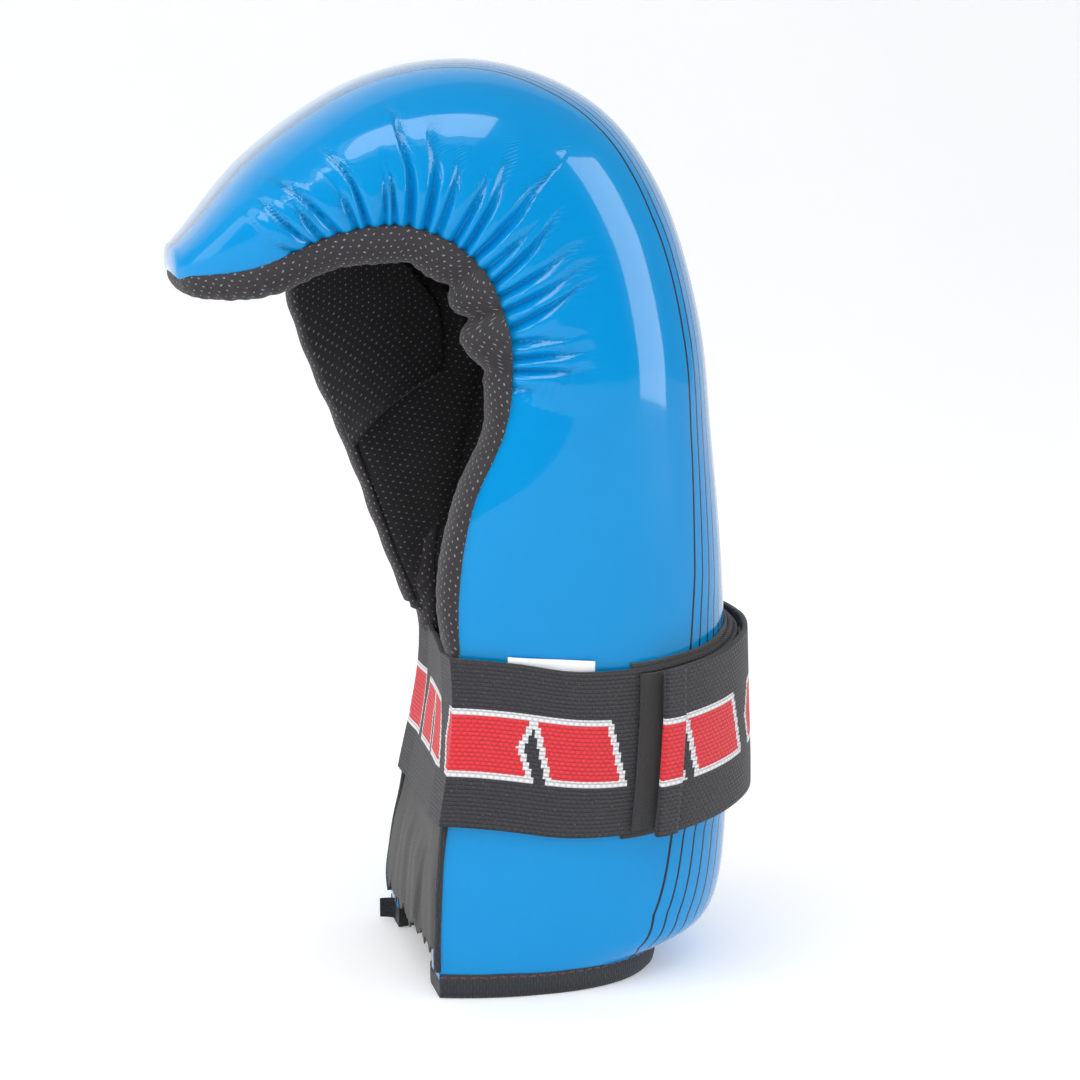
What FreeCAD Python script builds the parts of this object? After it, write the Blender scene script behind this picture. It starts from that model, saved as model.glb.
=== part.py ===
import FreeCAD, Part
import math
import os

# Open-palm padded glove for semi-contact martial arts, in millimetres.
# It stands on its cuff: +Z runs up the forearm to the knuckles, +X is the back
# of the hand, -X the open palm and the fingertips, -Y the little-finger side
# and +Y the thumb side. The origin is the centre of the footprint box, on the
# surface the cuff stands on.
#
# The padded shell is one U-shaped section carried along the hand. A section
# lies in a plane that holds the Y direction. In that plane q runs from the
# edge of the palm opening (q = 0) to the back of the hand, and "near" is the
# little-finger side, "far" the thumb side.

# ---- driving dimensions -------------------------------------------------
X_SHIFT = 2.0                 # puts the origin in the middle of the footprint box
RIM_Z = 5.5                   # height of the sewn hem under the cuff's rim
# One row per section: edge x, edge z, back x, back z, half width, and how far
# the far side's opening edge lies behind the near side's.
SECTIONS = [
    (-17.0, RIM_Z, 58.0, RIM_Z, 47.0, 0.0),    # rim of the cuff
    (-17.5, 20.0, 77.5, 16.5, 50.5, 1.0),
    (-16.5, 48.0, 82.5, 48.0, 53.0, 6.0),
    (-11.5, 85.0, 81.5, 88.0, 53.5, 8.5),      # waist, under the strap
    (-12.5, 122.0, 79.5, 128.0, 55.0, 10.0),
    (-8.5, 150.0, 75.5, 166.0, 56.5, 11.2),
    (1.5, 174.0, 70.5, 204.0, 57.0, 7.0),
    (2.5, 198.0, 58.0, 242.0, 57.0, 9.5),      # knuckles
    (-6.0, 220.0, 37.0, 268.0, 56.5, 11.0),
    (-25.0, 231.0, 4.0, 280.0, 55.0, 13.0),    # top of the hood
    (-46.0, 229.0, -31.0, 275.0, 51.0, 11.0),
    (-68.0, 219.5, -64.0, 254.0, 43.0, 6.0),
    (-86.0, 216.5, -86.0, 229.0, 27.0, 1.0),   # fingertips
    (-94.5, 215.5, -95.5, 219.5, 8.0, 0.0),
]
TIP_SECTION = len(SECTIONS) - 1.15   # where the shell ends, in rows of the table
LOFTS_PER_ROW = 3             # sections lofted per row of the table
CORNER_START = 0.35           # share of the depth where the back starts to round
CORNER_POWER = 2.4            # superellipse power of the rounded back
TOE_IN = 0.09                 # share of the width by which the walls lean in at the opening
GAP = 0.15                    # free play between layers that are sewn together
FOAM_GAP = 0.5                # free play between the padding and the cloth on either side of it

SKIN = 1.2                    # coated fabric over the padding
LINING = 2.0
BACK_FOAM = 22.0              # skin and padding over the back of the hand
SIDE_FOAM = 14.0              # skin and padding in the side walls
BACK_FOAM_SHARE = 0.56        # most of the depth that the padding may take in the thin hood
SIDE_FOAM_SHARE = 0.32        # the same for the width
CAVITY_END = 11.35            # section where the finger space closes
ROLL_REACH = 7.0              # how far the padded edge stands past the wall
ROLL_GAP = 0.8                # free play under the rolls, which are lofted through fewer sections
FOAM_SPLITS = (0, 6, 12, 18)  # points of the U between which the near, back and far pads lie
FOAM_END_GAP = 0.03           # sections between those pads and the fingertip pad
NEAR_ROLL_START = 3.72        # section where the roll comes out from under the strap
FAR_ROLL_START = 7.6          # section where the far roll starts, over the thumb guard
HEM_TAB = (5.0, 7.0, 1.6)     # reach, height and thickness of the hem ribbon's free end
HEM_TAB_LIFT = 1.0

COVER = 0.6                   # thickness of the wrist gusset and the edge bindings
COVER_GAP = 0.35
GUSSET = (0.62, 3.35)         # sections that the gusset spans
BINDING_START = 0.3
BINDING_WIDTH = 3.6

STRAP_WIDTH = 50.0
ELASTIC = 1.6                 # thickness of the strap
TAPE = 1.3                    # thickness of the loop and the hook tape
TAPE_WIDTH = 47.0
BAND_LIFT = 1.1               # each lift is a strip's inner face over the skin
LOOP_LIFT = BAND_LIFT + ELASTIC + GAP
HOOK_LIFT = LOOP_LIFT + TAPE + GAP
TAIL_LIFT = HOOK_LIFT + TAPE + GAP
STRAP_STEP = 0.025            # length of one facet of a strip, in u
# u is the place round the wrist: -1 is the near palm corner, 0 the middle of the
# back, 1 the far palm corner, and it runs on across the palm to 3, which is -1 again.
# Height of the strap's middle at each u:
STRAP_LEVELS = [(-1.0, 80.5), (-0.62, 75.5), (0.0, 83.0), (0.62, 75.5), (1.0, 74.0), (3.0, 80.5)]
BAND_SEWN_END = 0.42
PATCH_SPAN = (0.425, -0.575)
PATCH_WIDTH = 53.0
PATCH_LIFT = 0.35
PATCH_THICK = 0.6
LOOP_SPAN = (0.40, -0.575)
RAMP = (0.80, 0.50)           # u where the band leaves the skin, and where it lies over the tapes
TAIL_FOLD = 0.45              # the two folds where the tail peels
TIP_FOLD = -0.075
FOLD_GAP = 0.012
TAIL_END = -0.50
HOOK_SPAN = (-0.125, -0.475)
END_FOLD_LENGTH = 0.045       # length in u of the turned-back end of the tail
END_FOLD_LIFT = TAIL_LIFT + ELASTIC + GAP

LABEL_X = (2.0, 28.0)
LABEL_Z = (88.0, 105.5)
LABEL_THICK = 0.3

FINGER_LOOP = (9.05, 9.75)    # sections that the loop spans
FINGER_LOOP_Q = 16.0
FINGER_LOOP_THICK = 1.6

THUMB_ROOT = ((-12.0, 116.0), (3.0, 195.0))   # hinge line of the thumb guard, x and z
THUMB_MID_Y = 45.0
# One row per level of the guard: distance up the hinge line, and the distance of its
# rear and front edges from that line.
THUMB_LEVELS = [
    (6.0, 0.0, 6.5), (22.0, 0.0, 16.0), (40.0, 0.0, 27.0), (58.0, 0.0, 38.8), (74.0, 0.0, 48.5),
    (88.0, 4.5, 54.0), (98.0, 15.5, 53.0), (104.0, 24.0, 47.5), (107.5, 31.5, 41.5),
]
THUMB_HALF_PAD = 4.8
THUMB_LINING = 1.4
THUMB_ROLL_PROUD = 1.0
POCKET_LEVELS = (50.0, 100.0)
POCKET_BULGE = 9.0
POCKET_CLOTH = 1.0
POCKET_MARGIN = 4.0           # how far the pocket stays inside the guard's edges


# ---- the shell's own frame ----------------------------------------------
def table_value(column, s):
    """Catmull-Rom curve through a column of SECTIONS, at section s."""
    values = [row[column] for row in SECTIONS]
    i = min(int(s), len(values) - 2)
    t = s - i
    b, c = values[i], values[i + 1]
    a = values[i - 1] if i > 0 else 2 * b - c
    d = values[i + 2] if i + 2 < len(values) else 2 * c - b
    return 0.5 * (2 * b + (c - a) * t + (2 * a - 5 * b + 4 * c - d) * t**2
                  + (3 * b - a - 3 * c + d) * t**3)


def frame_at(s):
    """Edge point, unit direction towards the back, depth and half width."""
    edge = FreeCAD.Vector(table_value(0, s) + X_SHIFT, 0, table_value(1, s))
    back = FreeCAD.Vector(table_value(2, s) + X_SHIFT, 0, table_value(3, s))
    across = back - edge
    depth = across.Length
    return edge, across.multiply(1 / depth), depth, table_value(4, s)


def far_cut(s):
    return table_value(5, s)


def place(s, q, y):
    edge, across, _, _ = frame_at(s)
    return edge + across * q + FreeCAD.Vector(0, y, 0)


def half_width(q, depth, width, start=0.0):
    """Half width of the U at depth q: leaning walls, then a superellipse."""
    bend = max(CORNER_START * depth, start + 2.0)
    if q <= bend:
        return width * (1 - TOE_IN * (1 - q / bend) ** 2)
    share = min(1.0, (q - bend) / (depth - bend))
    return width * (1 - share**CORNER_POWER) ** (1 / CORNER_POWER)


def half_section(depth, width, start=0.0):
    """Points (q, half y) from the opening's edge to the middle of the back."""
    bend = max(CORNER_START * depth, start + 2.0)
    points = []
    for k in range(3):
        q = start + (bend - start) * k / 3
        points.append((q, half_width(q, depth, width, start)))
    for degrees in (0, 20, 38, 54, 68, 80):
        a = math.radians(degrees)
        q = bend + (depth - bend) * math.sin(a) ** (2 / CORNER_POWER)
        points.append((q, width * math.cos(a) ** (2 / CORNER_POWER)))
    points.append((depth, 0.0))
    return points


def u_points(s, back_inset, side_inset, near=0.0, far=None):
    """Points of the U at section s, from the near opening edge to the far one."""
    _, _, depth, width = frame_at(s)
    start = far_cut(s) if far is None else far
    near_half = half_section(depth - back_inset, width - side_inset, near)
    far_half = half_section(depth - back_inset, width - side_inset, start)
    points = [place(s, q, -y) for q, y in near_half]
    return points + [place(s, q, y) for q, y in reversed(far_half[:-1])]


def back_foam(s):
    return min(BACK_FOAM, BACK_FOAM_SHARE * frame_at(s)[2])


def side_foam(s):
    return min(SIDE_FOAM, SIDE_FOAM_SHARE * frame_at(s)[3])


def wall_end(s, side):
    """Outer and inner half width of a side wall's end at the opening, and its q."""
    _, _, depth, width = frame_at(s)
    start = far_cut(s) if side > 0 else 0.0
    outer = half_width(start, depth, width, start)
    inner_depth = depth - back_foam(s) - LINING - FOAM_GAP
    inner = half_width(start, inner_depth, width - side_foam(s) - LINING - FOAM_GAP, start)
    return outer, inner, start


# ---- small shape helpers ------------------------------------------------
def spline(points):
    curve = Part.BSplineCurve()
    curve.interpolate(points)
    return curve.toShape()


def line(a, b):
    return Part.LineSegment(a, b).toShape()


def polygon(points):
    return Part.makePolygon(points + [points[0]])


def stations(first, last, per_row=LOFTS_PER_ROW):
    count = max(2, round((last - first) * per_row))
    return [first + (last - first) * k / count for k in range(count + 1)]


def loft(wires, ruled=False):
    solid = Part.makeLoft(wires, True, ruled)
    if solid.Volume < 0:
        solid.reverse()
    return solid


def u_band(s, outer, inner):
    """Closed wire of one layer of the shell; outer and inner are (back, side) insets."""
    a = u_points(s, *outer)
    b = u_points(s, *inner)
    return Part.Wire([spline(a), line(a[-1], b[-1]), spline(list(reversed(b))), line(b[0], a[0])])


# ---- padded shell -------------------------------------------------------
def outer_skin():
    return loft([u_band(s, (0, 0), (SKIN, SKIN)) for s in stations(0, TIP_SECTION)])


def curve_piece(points, first, last, inset_first, inset_last):
    """Edge of the spline through points, from one of them to another, less an inset in mm."""
    curve = Part.BSplineCurve()
    curve.interpolate(points)
    start, end = curve.parameter(points[first]), curve.parameter(points[last])
    if inset_first:
        start = curve.parameterAtDistance(inset_first, start)
    if inset_last:
        end = curve.parameterAtDistance(-inset_last, end)
    return curve.toShape(start, end)


def foam_strip(first, last):
    """Pad between two points of the U, from the cuff to the end of the finger space."""
    inset_first = GAP if first > FOAM_SPLITS[0] else 0.0
    inset_last = GAP if last < FOAM_SPLITS[-1] else 0.0
    wires = []
    for s in stations(0, CAVITY_END):
        skin_side = u_points(s, SKIN + FOAM_GAP, SKIN + FOAM_GAP)
        hand_side = u_points(s, back_foam(s), side_foam(s))
        a = curve_piece(skin_side, first, last, inset_first, inset_last)
        b = curve_piece(hand_side, first, last, inset_first, inset_last)
        a0, a1 = a.valueAt(a.FirstParameter), a.valueAt(a.LastParameter)
        b0, b1 = b.valueAt(b.FirstParameter), b.valueAt(b.LastParameter)
        wires.append(Part.Wire([a, line(a1, b1), b, line(b0, a0)]))
    return loft(wires)


def fingertip_foam():
    """Solid pad under the fingertips, which closes the finger space."""
    wires = []
    for s in stations(CAVITY_END + FOAM_END_GAP, TIP_SECTION):
        a = u_points(s, SKIN + FOAM_GAP, SKIN + FOAM_GAP)
        wires.append(Part.Wire([spline(a), line(a[-1], a[0])]))
    return loft(wires)


def hand_lining():
    wires = []
    for s in stations(0, CAVITY_END):
        back, side = back_foam(s) + FOAM_GAP, side_foam(s) + FOAM_GAP
        wires.append(u_band(s, (back, side), (back + LINING, side + LINING)))
    return loft(wires)


def roll_wire(s, side):
    """D-shaped cap over the end of one side wall."""
    outer, inner, start = wall_end(s, side)
    middle, half = (outer + inner) / 2, (outer - inner) / 2
    points = []
    for k in range(9):
        a = math.pi * k / 8
        q = start - ROLL_GAP - ROLL_REACH * math.sin(a)
        points.append(place(s, q, side * (middle + half * math.cos(a))))
    return Part.Wire([spline(points), line(points[-1], points[0])])


def near_edge_roll():
    return loft([roll_wire(s, -1) for s in stations(NEAR_ROLL_START, CAVITY_END)])


def far_edge_roll():
    return loft([roll_wire(s, 1) for s in stations(FAR_ROLL_START, CAVITY_END)])


def fingertip_edge_roll():
    """The roll where it runs round the fingertips, from one side wall to the other."""
    wires = []
    for s in stations(CAVITY_END + 0.1, TIP_SECTION, 4):
        _, _, depth, width = frame_at(s)
        half = half_width(0, depth, width)
        reach = ROLL_REACH * min(1.0, 0.35 + width / 50)
        points = []
        for k in range(13):
            a = math.pi * k / 12
            points.append(place(s, -ROLL_GAP - reach * math.sin(a) ** 0.6, half * math.cos(a)))
        wires.append(Part.Wire([spline(points), line(points[-1], points[0])]))
    return loft(wires)


def hem_binding():
    back, side = back_foam(0) + LINING + FOAM_GAP, side_foam(0) + LINING + FOAM_GAP
    wire = u_band(0, (0, 0), (back, side))
    wire.translate(FreeCAD.Vector(0, 0, -RIM_Z))
    return Part.Face(wire).extrude(FreeCAD.Vector(0, 0, RIM_Z - GAP))


def hem_tab():
    """Free end of the hem's ribbon, which stands out at the far palm corner."""
    reach, height, thick = HEM_TAB
    outer, inner, start = wall_end(0, 1)
    corner = place(0, start - GAP - reach, (outer + inner) / 2 - thick / 2)
    corner.z = HEM_TAB_LIFT
    return Part.makeBox(reach, thick, height, corner)


def cover_strip(sections, profile):
    """Thin cloth over the wall ends; profile gives the (q, y) points under it at s."""
    wires = []
    for s in sections:
        points = profile(s)
        inner = [place(s, q - COVER_GAP, y) for q, y in points]
        outer = [place(s, q - COVER_GAP - COVER, y) for q, y in reversed(points)]
        wires.append(polygon(inner + outer))
    return loft(wires)


def palm_line(s):
    """(q, y) points across the palm opening: flat over each wall's end, straight between."""
    far_outer, far_inner, far_q = wall_end(s, 1)
    near_outer, near_inner, near_q = wall_end(s, -1)
    return [(near_q, -near_outer), (near_q, -near_inner + 1.0),
            (far_q, far_inner - 1.0), (far_q, far_outer)]


def gusset_profile(s):
    points = palm_line(s)
    inset = BINDING_WIDTH + 2 * GAP
    (near_q, near_y), (far_q, far_y) = points[0], points[-1]
    return [(near_q, near_y + inset)] + points[1:-1] + [(far_q, far_y - inset)]


def wrist_gusset():
    return cover_strip(stations(*GUSSET), gusset_profile)


def edge_binding(side):
    def profile(s):
        outer, _, start = wall_end(s, side)
        return [(start, side * (outer - GAP)), (start, side * (outer - BINDING_WIDTH))]
    return cover_strip(stations(BINDING_START, GUSSET[1]), profile)


# ---- wrist strap --------------------------------------------------------
def side_place(s, u, lift):
    """Point at u round the back of section s, lift outside the skin."""
    _, _, depth, width = frame_at(s)
    start = far_cut(s) if u > 0 else 0.0
    curve = Part.BSplineCurve()
    points = half_section(depth + lift, width + lift, start)
    curve.interpolate([FreeCAD.Vector(q, y, 0) for q, y in points])
    p = curve.value(curve.parameterAtDistance(curve.length() * (1 - abs(u))))
    return place(s, p.x, math.copysign(p.y, u))


def palm_place(s, u, lift):
    """Point at u across the palm of section s, with round corners at the wall ends."""
    corner_share = 0.04
    t = (u - 1) / 2
    far_y, _, far_q = wall_end(s, 1)
    near_y, _, _ = wall_end(s, -1)
    if t < corner_share:
        a = math.pi / 2 * t / corner_share
        return place(s, far_q - lift * math.sin(a), far_y + lift * math.cos(a))
    if t > 1 - corner_share:
        a = math.pi / 2 * (1 - t) / corner_share
        return place(s, -lift * math.sin(a), -near_y - lift * math.cos(a))
    v = (t - corner_share) / (1 - 2 * corner_share)
    y = far_y + (-near_y - far_y) * v
    _, (q0, y0), (q1, y1), _ = palm_line(s)
    share = min(1.0, max(0.0, (y - y0) / (y1 - y0)))
    return place(s, q0 + (q1 - q0) * share - lift, y)


def wrist_place(u, z, lift):
    """Point round the wrist at place u and height z, lift outside the skin."""
    maker = side_place if abs(u) <= 1 else palm_place
    low, high = 0.0, 6.0
    for _ in range(24):
        middle = (low + high) / 2
        if maker(middle, u, lift).z < z:
            low = middle
        else:
            high = middle
    return maker(low, u, lift)


def strap_level(u):
    """Height of the strap's middle at u."""
    for (u0, z0), (u1, z1) in zip(STRAP_LEVELS, STRAP_LEVELS[1:]):
        if u <= u1:
            t = (u - u0) / (u1 - u0)
            return z0 + (z1 - z0) * t * t * (3 - 2 * t)
    return STRAP_LEVELS[-1][1]


def upright_strip(places, width, thick):
    """Solid strip through (u, lift, middle height) places, made of flat-ended facets."""
    wires = []
    for u, lift, middle in places:
        low = wrist_place(u, middle - width / 2, lift)
        high = wrist_place(u, middle + width / 2, lift)
        out = wrist_place(u, middle, lift + thick) - wrist_place(u, middle, lift)
        wires.append(polygon([low, high, high + out, low + out]))
    return loft(wires, ruled=True)


def ribbon(places, width, thick):
    """Solid strip through (u, lift) places; lift is its inner face over the skin."""
    return upright_strip([(u, lift, strap_level(u)) for u, lift in places], width, thick)


def spread(first, last, step=STRAP_STEP):
    """Places from first to last in steps of about step."""
    count = max(1, round(abs(last - first) / step))
    return [first + (last - first) * k / count for k in range(count + 1)]


def strip(span, lift, width, thick):
    return ribbon([(u, lift) for u in spread(*span)], width, thick)


def strap_band():
    """One elastic: sewn down at the back, round the near side, the palm and the far side,
    then up over its own sewn end, where the tail goes on."""
    places = [(u, BAND_LIFT) for u in spread(BAND_SEWN_END, -0.99)]
    corner = [2.995 - 0.015 * k for k in range(6)]
    places += [(u, BAND_LIFT) for u in corner]
    places += [(u, BAND_LIFT) for u in spread(2.90, 1.10, 0.06)]
    places += [(4 - u, BAND_LIFT) for u in reversed(corner)]
    for u in spread(0.99, TAIL_FOLD + FOLD_GAP):
        t = min(1.0, max(0.0, (RAMP[0] - u) / (RAMP[0] - RAMP[1])))
        places.append((u, BAND_LIFT + (TAIL_LIFT - BAND_LIFT) * t * t * (3 - 2 * t)))
    return ribbon(places, STRAP_WIDTH, ELASTIC)


def strap_end_fold():
    """The tail's end, turned back on itself and sewn."""
    return strip((TAIL_END + END_FOLD_LENGTH, TAIL_END), END_FOLD_LIFT, STRAP_WIDTH, ELASTIC)


def fold_line(u):
    """Point on the strap's outer face at a fold, which its hinge passes through."""
    return wrist_place(u, strap_level(u), TAIL_LIFT + ELASTIC)


# ---- label and finger loop ----------------------------------------------
def blank_label():
    u_edges = []
    for x in LABEL_X:
        low, high = -1.0, -0.3
        for _ in range(24):
            middle = (low + high) / 2
            if wrist_place(middle, LABEL_Z[1], GAP).x < x + X_SHIFT:
                low = middle
            else:
                high = middle
        u_edges.append(low)
    middle, height = (LABEL_Z[0] + LABEL_Z[1]) / 2, LABEL_Z[1] - LABEL_Z[0]
    return upright_strip([(u, GAP, middle) for u in spread(*u_edges)], height, LABEL_THICK)


def finger_loop():
    """Elastic across the hood that the fingers go behind."""
    wires = []
    inner_q = FINGER_LOOP_Q + FINGER_LOOP_THICK
    for s in stations(*FINGER_LOOP):
        _, _, depth, width = frame_at(s)
        room = half_width(inner_q, depth - back_foam(s) - LINING - FOAM_GAP,
                          width - side_foam(s) - LINING - FOAM_GAP)
        y = room - GAP
        wires.append(polygon([place(s, FINGER_LOOP_Q, -y), place(s, FINGER_LOOP_Q, y),
                              place(s, inner_q, y), place(s, inner_q, -y)]))
    return loft(wires)


# ---- thumb guard --------------------------------------------------------
def thumb_place(up, front, y):
    """Point up the hinge line, front of it, and y outside the guard's middle."""
    (x0, z0), (x1, z1) = THUMB_ROOT
    length = math.hypot(x1 - x0, z1 - z0)
    ax, az = (x1 - x0) / length, (z1 - z0) / length
    return FreeCAD.Vector(x0 + X_SHIFT + ax * up - az * front, THUMB_MID_Y + y, z0 + az * up + ax * front)


def thumb_half(up):
    """Half thickness of the guard's padding: it thins at the guard's top."""
    start, top = 96.0, 112.0
    if up < start:
        return THUMB_HALF_PAD
    return THUMB_HALF_PAD * math.sqrt(1 - ((up - start) / (top - start)) ** 2)


def thumb_rows():
    """Level, rear and front of the padding, whose front is capped by the roll."""
    return [(up, rear, front - THUMB_HALF_PAD - THUMB_ROLL_PROUD) for up, rear, front in THUMB_LEVELS]


def thumb_foam():
    wires = []
    for up, rear, front in thumb_rows():
        h = thumb_half(up)
        corners = [thumb_place(up, rear, -h), thumb_place(up, front, -h),
                   thumb_place(up, front, h), thumb_place(up, rear, h)]
        root = Part.Arc(corners[3], thumb_place(up, rear - h, 0), corners[0]).toShape()
        wires.append(Part.Wire([line(p, q) for p, q in zip(corners, corners[1:])] + [root]))
    return loft(wires)


def thumb_slab(side, thick):
    """A cloth layer on the guard's outer (side 1) or inner (side -1) face."""
    wires = []
    for up, rear, front in thumb_rows():
        low = thumb_half(up) + GAP
        wires.append(polygon([thumb_place(up, rear, side * low), thumb_place(up, front, side * low),
                              thumb_place(up, front, side * (low + thick)),
                              thumb_place(up, rear, side * (low + thick))]))
    return loft(wires)


def thumb_edge_roll():
    wires = []
    for up, _, front in thumb_rows():
        h = thumb_half(up) + THUMB_ROLL_PROUD
        low, high = thumb_place(up, front + GAP, -h), thumb_place(up, front + GAP, h)
        cap = Part.Arc(low, thumb_place(up, front + GAP + h, 0), high).toShape()
        wires.append(Part.Wire([cap, line(high, low)]))
    return loft(wires)


def thumb_edges(up):
    """Rear and front edge of the padding at a level between the rows."""
    rows = thumb_rows()
    for (u0, r0, f0), (u1, r1, f1) in zip(rows, rows[1:]):
        if up <= u1:
            t = (up - u0) / (u1 - u0)
            return r0 + (r1 - r0) * t, f0 + (f1 - f0) * t
    return rows[-1][1:]


def thumb_pocket():
    """Cloth cup on the guard's inner face: open at its lower end, closed at its top."""
    low, high = POCKET_LEVELS
    wires = []
    for k in range(7):
        up = low + (high - low) * k / 6
        rear, front = thumb_edges(up)
        rear += POCKET_MARGIN
        front -= 1.0
        base = -(thumb_half(up) + GAP + THUMB_LINING + GAP)
        bulge = POCKET_BULGE * math.sqrt(max(0.0, 1 - (k / 6.3) ** 2))
        middle = (rear + front) / 2
        outer = Part.Arc(thumb_place(up, rear, base), thumb_place(up, middle, base - bulge - POCKET_CLOTH),
                         thumb_place(up, front, base)).toShape()
        inner = Part.Arc(thumb_place(up, front - 1.5, base), thumb_place(up, middle, base - bulge),
                         thumb_place(up, rear + 1.5, base)).toShape()
        wires.append(Part.Wire([outer, line(thumb_place(up, front, base), thumb_place(up, front - 1.5, base)),
                                inner, line(thumb_place(up, rear + 1.5, base), thumb_place(up, rear, base))]))
    return loft(wires)


# ---- all nodes ----------------------------------------------------------
NODES = {
    "outer_skin": outer_skin,
    "near_side_foam": lambda: foam_strip(*FOAM_SPLITS[0:2]),
    "back_foam_pad": lambda: foam_strip(*FOAM_SPLITS[1:3]),
    "far_side_foam": lambda: foam_strip(*FOAM_SPLITS[2:4]),
    "fingertip_foam": fingertip_foam,
    "hand_lining": hand_lining,
    "near_edge_roll": near_edge_roll,
    "far_edge_roll": far_edge_roll,
    "fingertip_edge_roll": fingertip_edge_roll,
    "hem_binding": hem_binding,
    "hem_tab": hem_tab,
    "wrist_gusset": wrist_gusset,
    "near_edge_binding": lambda: edge_binding(-1),
    "far_edge_binding": lambda: edge_binding(1),
    "strap_anchor_patch": lambda: strip(PATCH_SPAN, PATCH_LIFT, PATCH_WIDTH, PATCH_THICK),
    "strap_band": strap_band,
    "strap_loop_tape": lambda: strip(LOOP_SPAN, LOOP_LIFT, TAPE_WIDTH, TAPE),
    "strap_tail_base": lambda: strip((TAIL_FOLD, TIP_FOLD + FOLD_GAP), TAIL_LIFT, STRAP_WIDTH, ELASTIC),
    "strap_tail_tip": lambda: strip((TIP_FOLD, TAIL_END), TAIL_LIFT, STRAP_WIDTH, ELASTIC),
    "strap_end_fold": strap_end_fold,
    "strap_hook_tape": lambda: strip(HOOK_SPAN, HOOK_LIFT, TAPE_WIDTH, TAPE),
    "blank_label": blank_label,
    "finger_loop": finger_loop,
    "thumb_foam": thumb_foam,
    "thumb_skin": lambda: thumb_slab(1, SKIN),
    "thumb_lining": lambda: thumb_slab(-1, THUMB_LINING),
    "thumb_edge_roll": thumb_edge_roll,
    "thumb_pocket": thumb_pocket,
}

os.makedirs("parts", exist_ok=True)
for name, make in NODES.items():
    shape = make()
    shape.exportStep("parts/" + name + ".step")
    box = shape.BoundBox
    print(f"{name:20s} solids {len(shape.Solids)} valid {shape.isValid()} {shape.Volume / 1000:8.2f} cm3"
          f"  x {box.XMin:.1f}..{box.XMax:.1f} y {box.YMin:.1f}..{box.YMax:.1f} z {box.ZMin:.1f}..{box.ZMax:.1f}")
for fold in ("TAIL_FOLD", "TIP_FOLD"):
    point = fold_line(globals()[fold] + FOLD_GAP / 2)
    print(f"{fold} hinge at {point.x:.2f} {point.y:.2f}")
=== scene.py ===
# %% [markdown]
# An open-palm padded glove for semi-contact martial arts, standing on its cuff.
# The imported model gives the frame: every piece below is built in metres in the same
# place as the plain solid that it stands for, and most pieces ride on the same body.

# %% Load the frame
import math
import bmesh
import bpy
import numpy as np
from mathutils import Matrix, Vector


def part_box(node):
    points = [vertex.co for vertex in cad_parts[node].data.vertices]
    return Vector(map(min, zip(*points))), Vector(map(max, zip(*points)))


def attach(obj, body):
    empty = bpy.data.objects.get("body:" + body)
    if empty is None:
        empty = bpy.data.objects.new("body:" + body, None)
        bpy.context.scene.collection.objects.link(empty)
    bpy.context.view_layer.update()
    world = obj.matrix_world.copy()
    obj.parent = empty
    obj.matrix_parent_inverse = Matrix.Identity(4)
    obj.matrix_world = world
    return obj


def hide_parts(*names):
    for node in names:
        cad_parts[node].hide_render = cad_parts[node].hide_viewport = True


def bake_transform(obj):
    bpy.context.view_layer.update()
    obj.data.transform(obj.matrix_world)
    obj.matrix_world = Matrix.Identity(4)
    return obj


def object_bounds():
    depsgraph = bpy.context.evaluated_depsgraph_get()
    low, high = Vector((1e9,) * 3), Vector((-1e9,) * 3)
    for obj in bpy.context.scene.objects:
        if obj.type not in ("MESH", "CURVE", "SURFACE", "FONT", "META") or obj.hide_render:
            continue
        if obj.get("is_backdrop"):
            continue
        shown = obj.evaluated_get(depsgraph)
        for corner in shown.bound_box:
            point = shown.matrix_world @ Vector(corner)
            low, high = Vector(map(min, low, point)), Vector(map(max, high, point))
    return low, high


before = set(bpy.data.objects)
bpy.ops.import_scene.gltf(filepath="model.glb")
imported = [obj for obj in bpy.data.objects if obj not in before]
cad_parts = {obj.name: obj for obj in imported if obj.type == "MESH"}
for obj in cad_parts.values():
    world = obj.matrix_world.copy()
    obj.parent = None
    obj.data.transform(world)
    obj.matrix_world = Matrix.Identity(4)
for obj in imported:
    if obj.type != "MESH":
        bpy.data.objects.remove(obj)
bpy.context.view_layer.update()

MM = 0.001

# %% [markdown]
# The whole glove is one U-shaped section that travels from the cuff to the fingertips.
# Each row of this table is one section in millimetres, the same rows that the solid
# model is lofted through, so the cloth lies where the solids are. A lesson for any
# organic shape: keep one small table of sections and derive every layer from it.

# %% The section table
RIM_Z = 5.5
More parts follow.
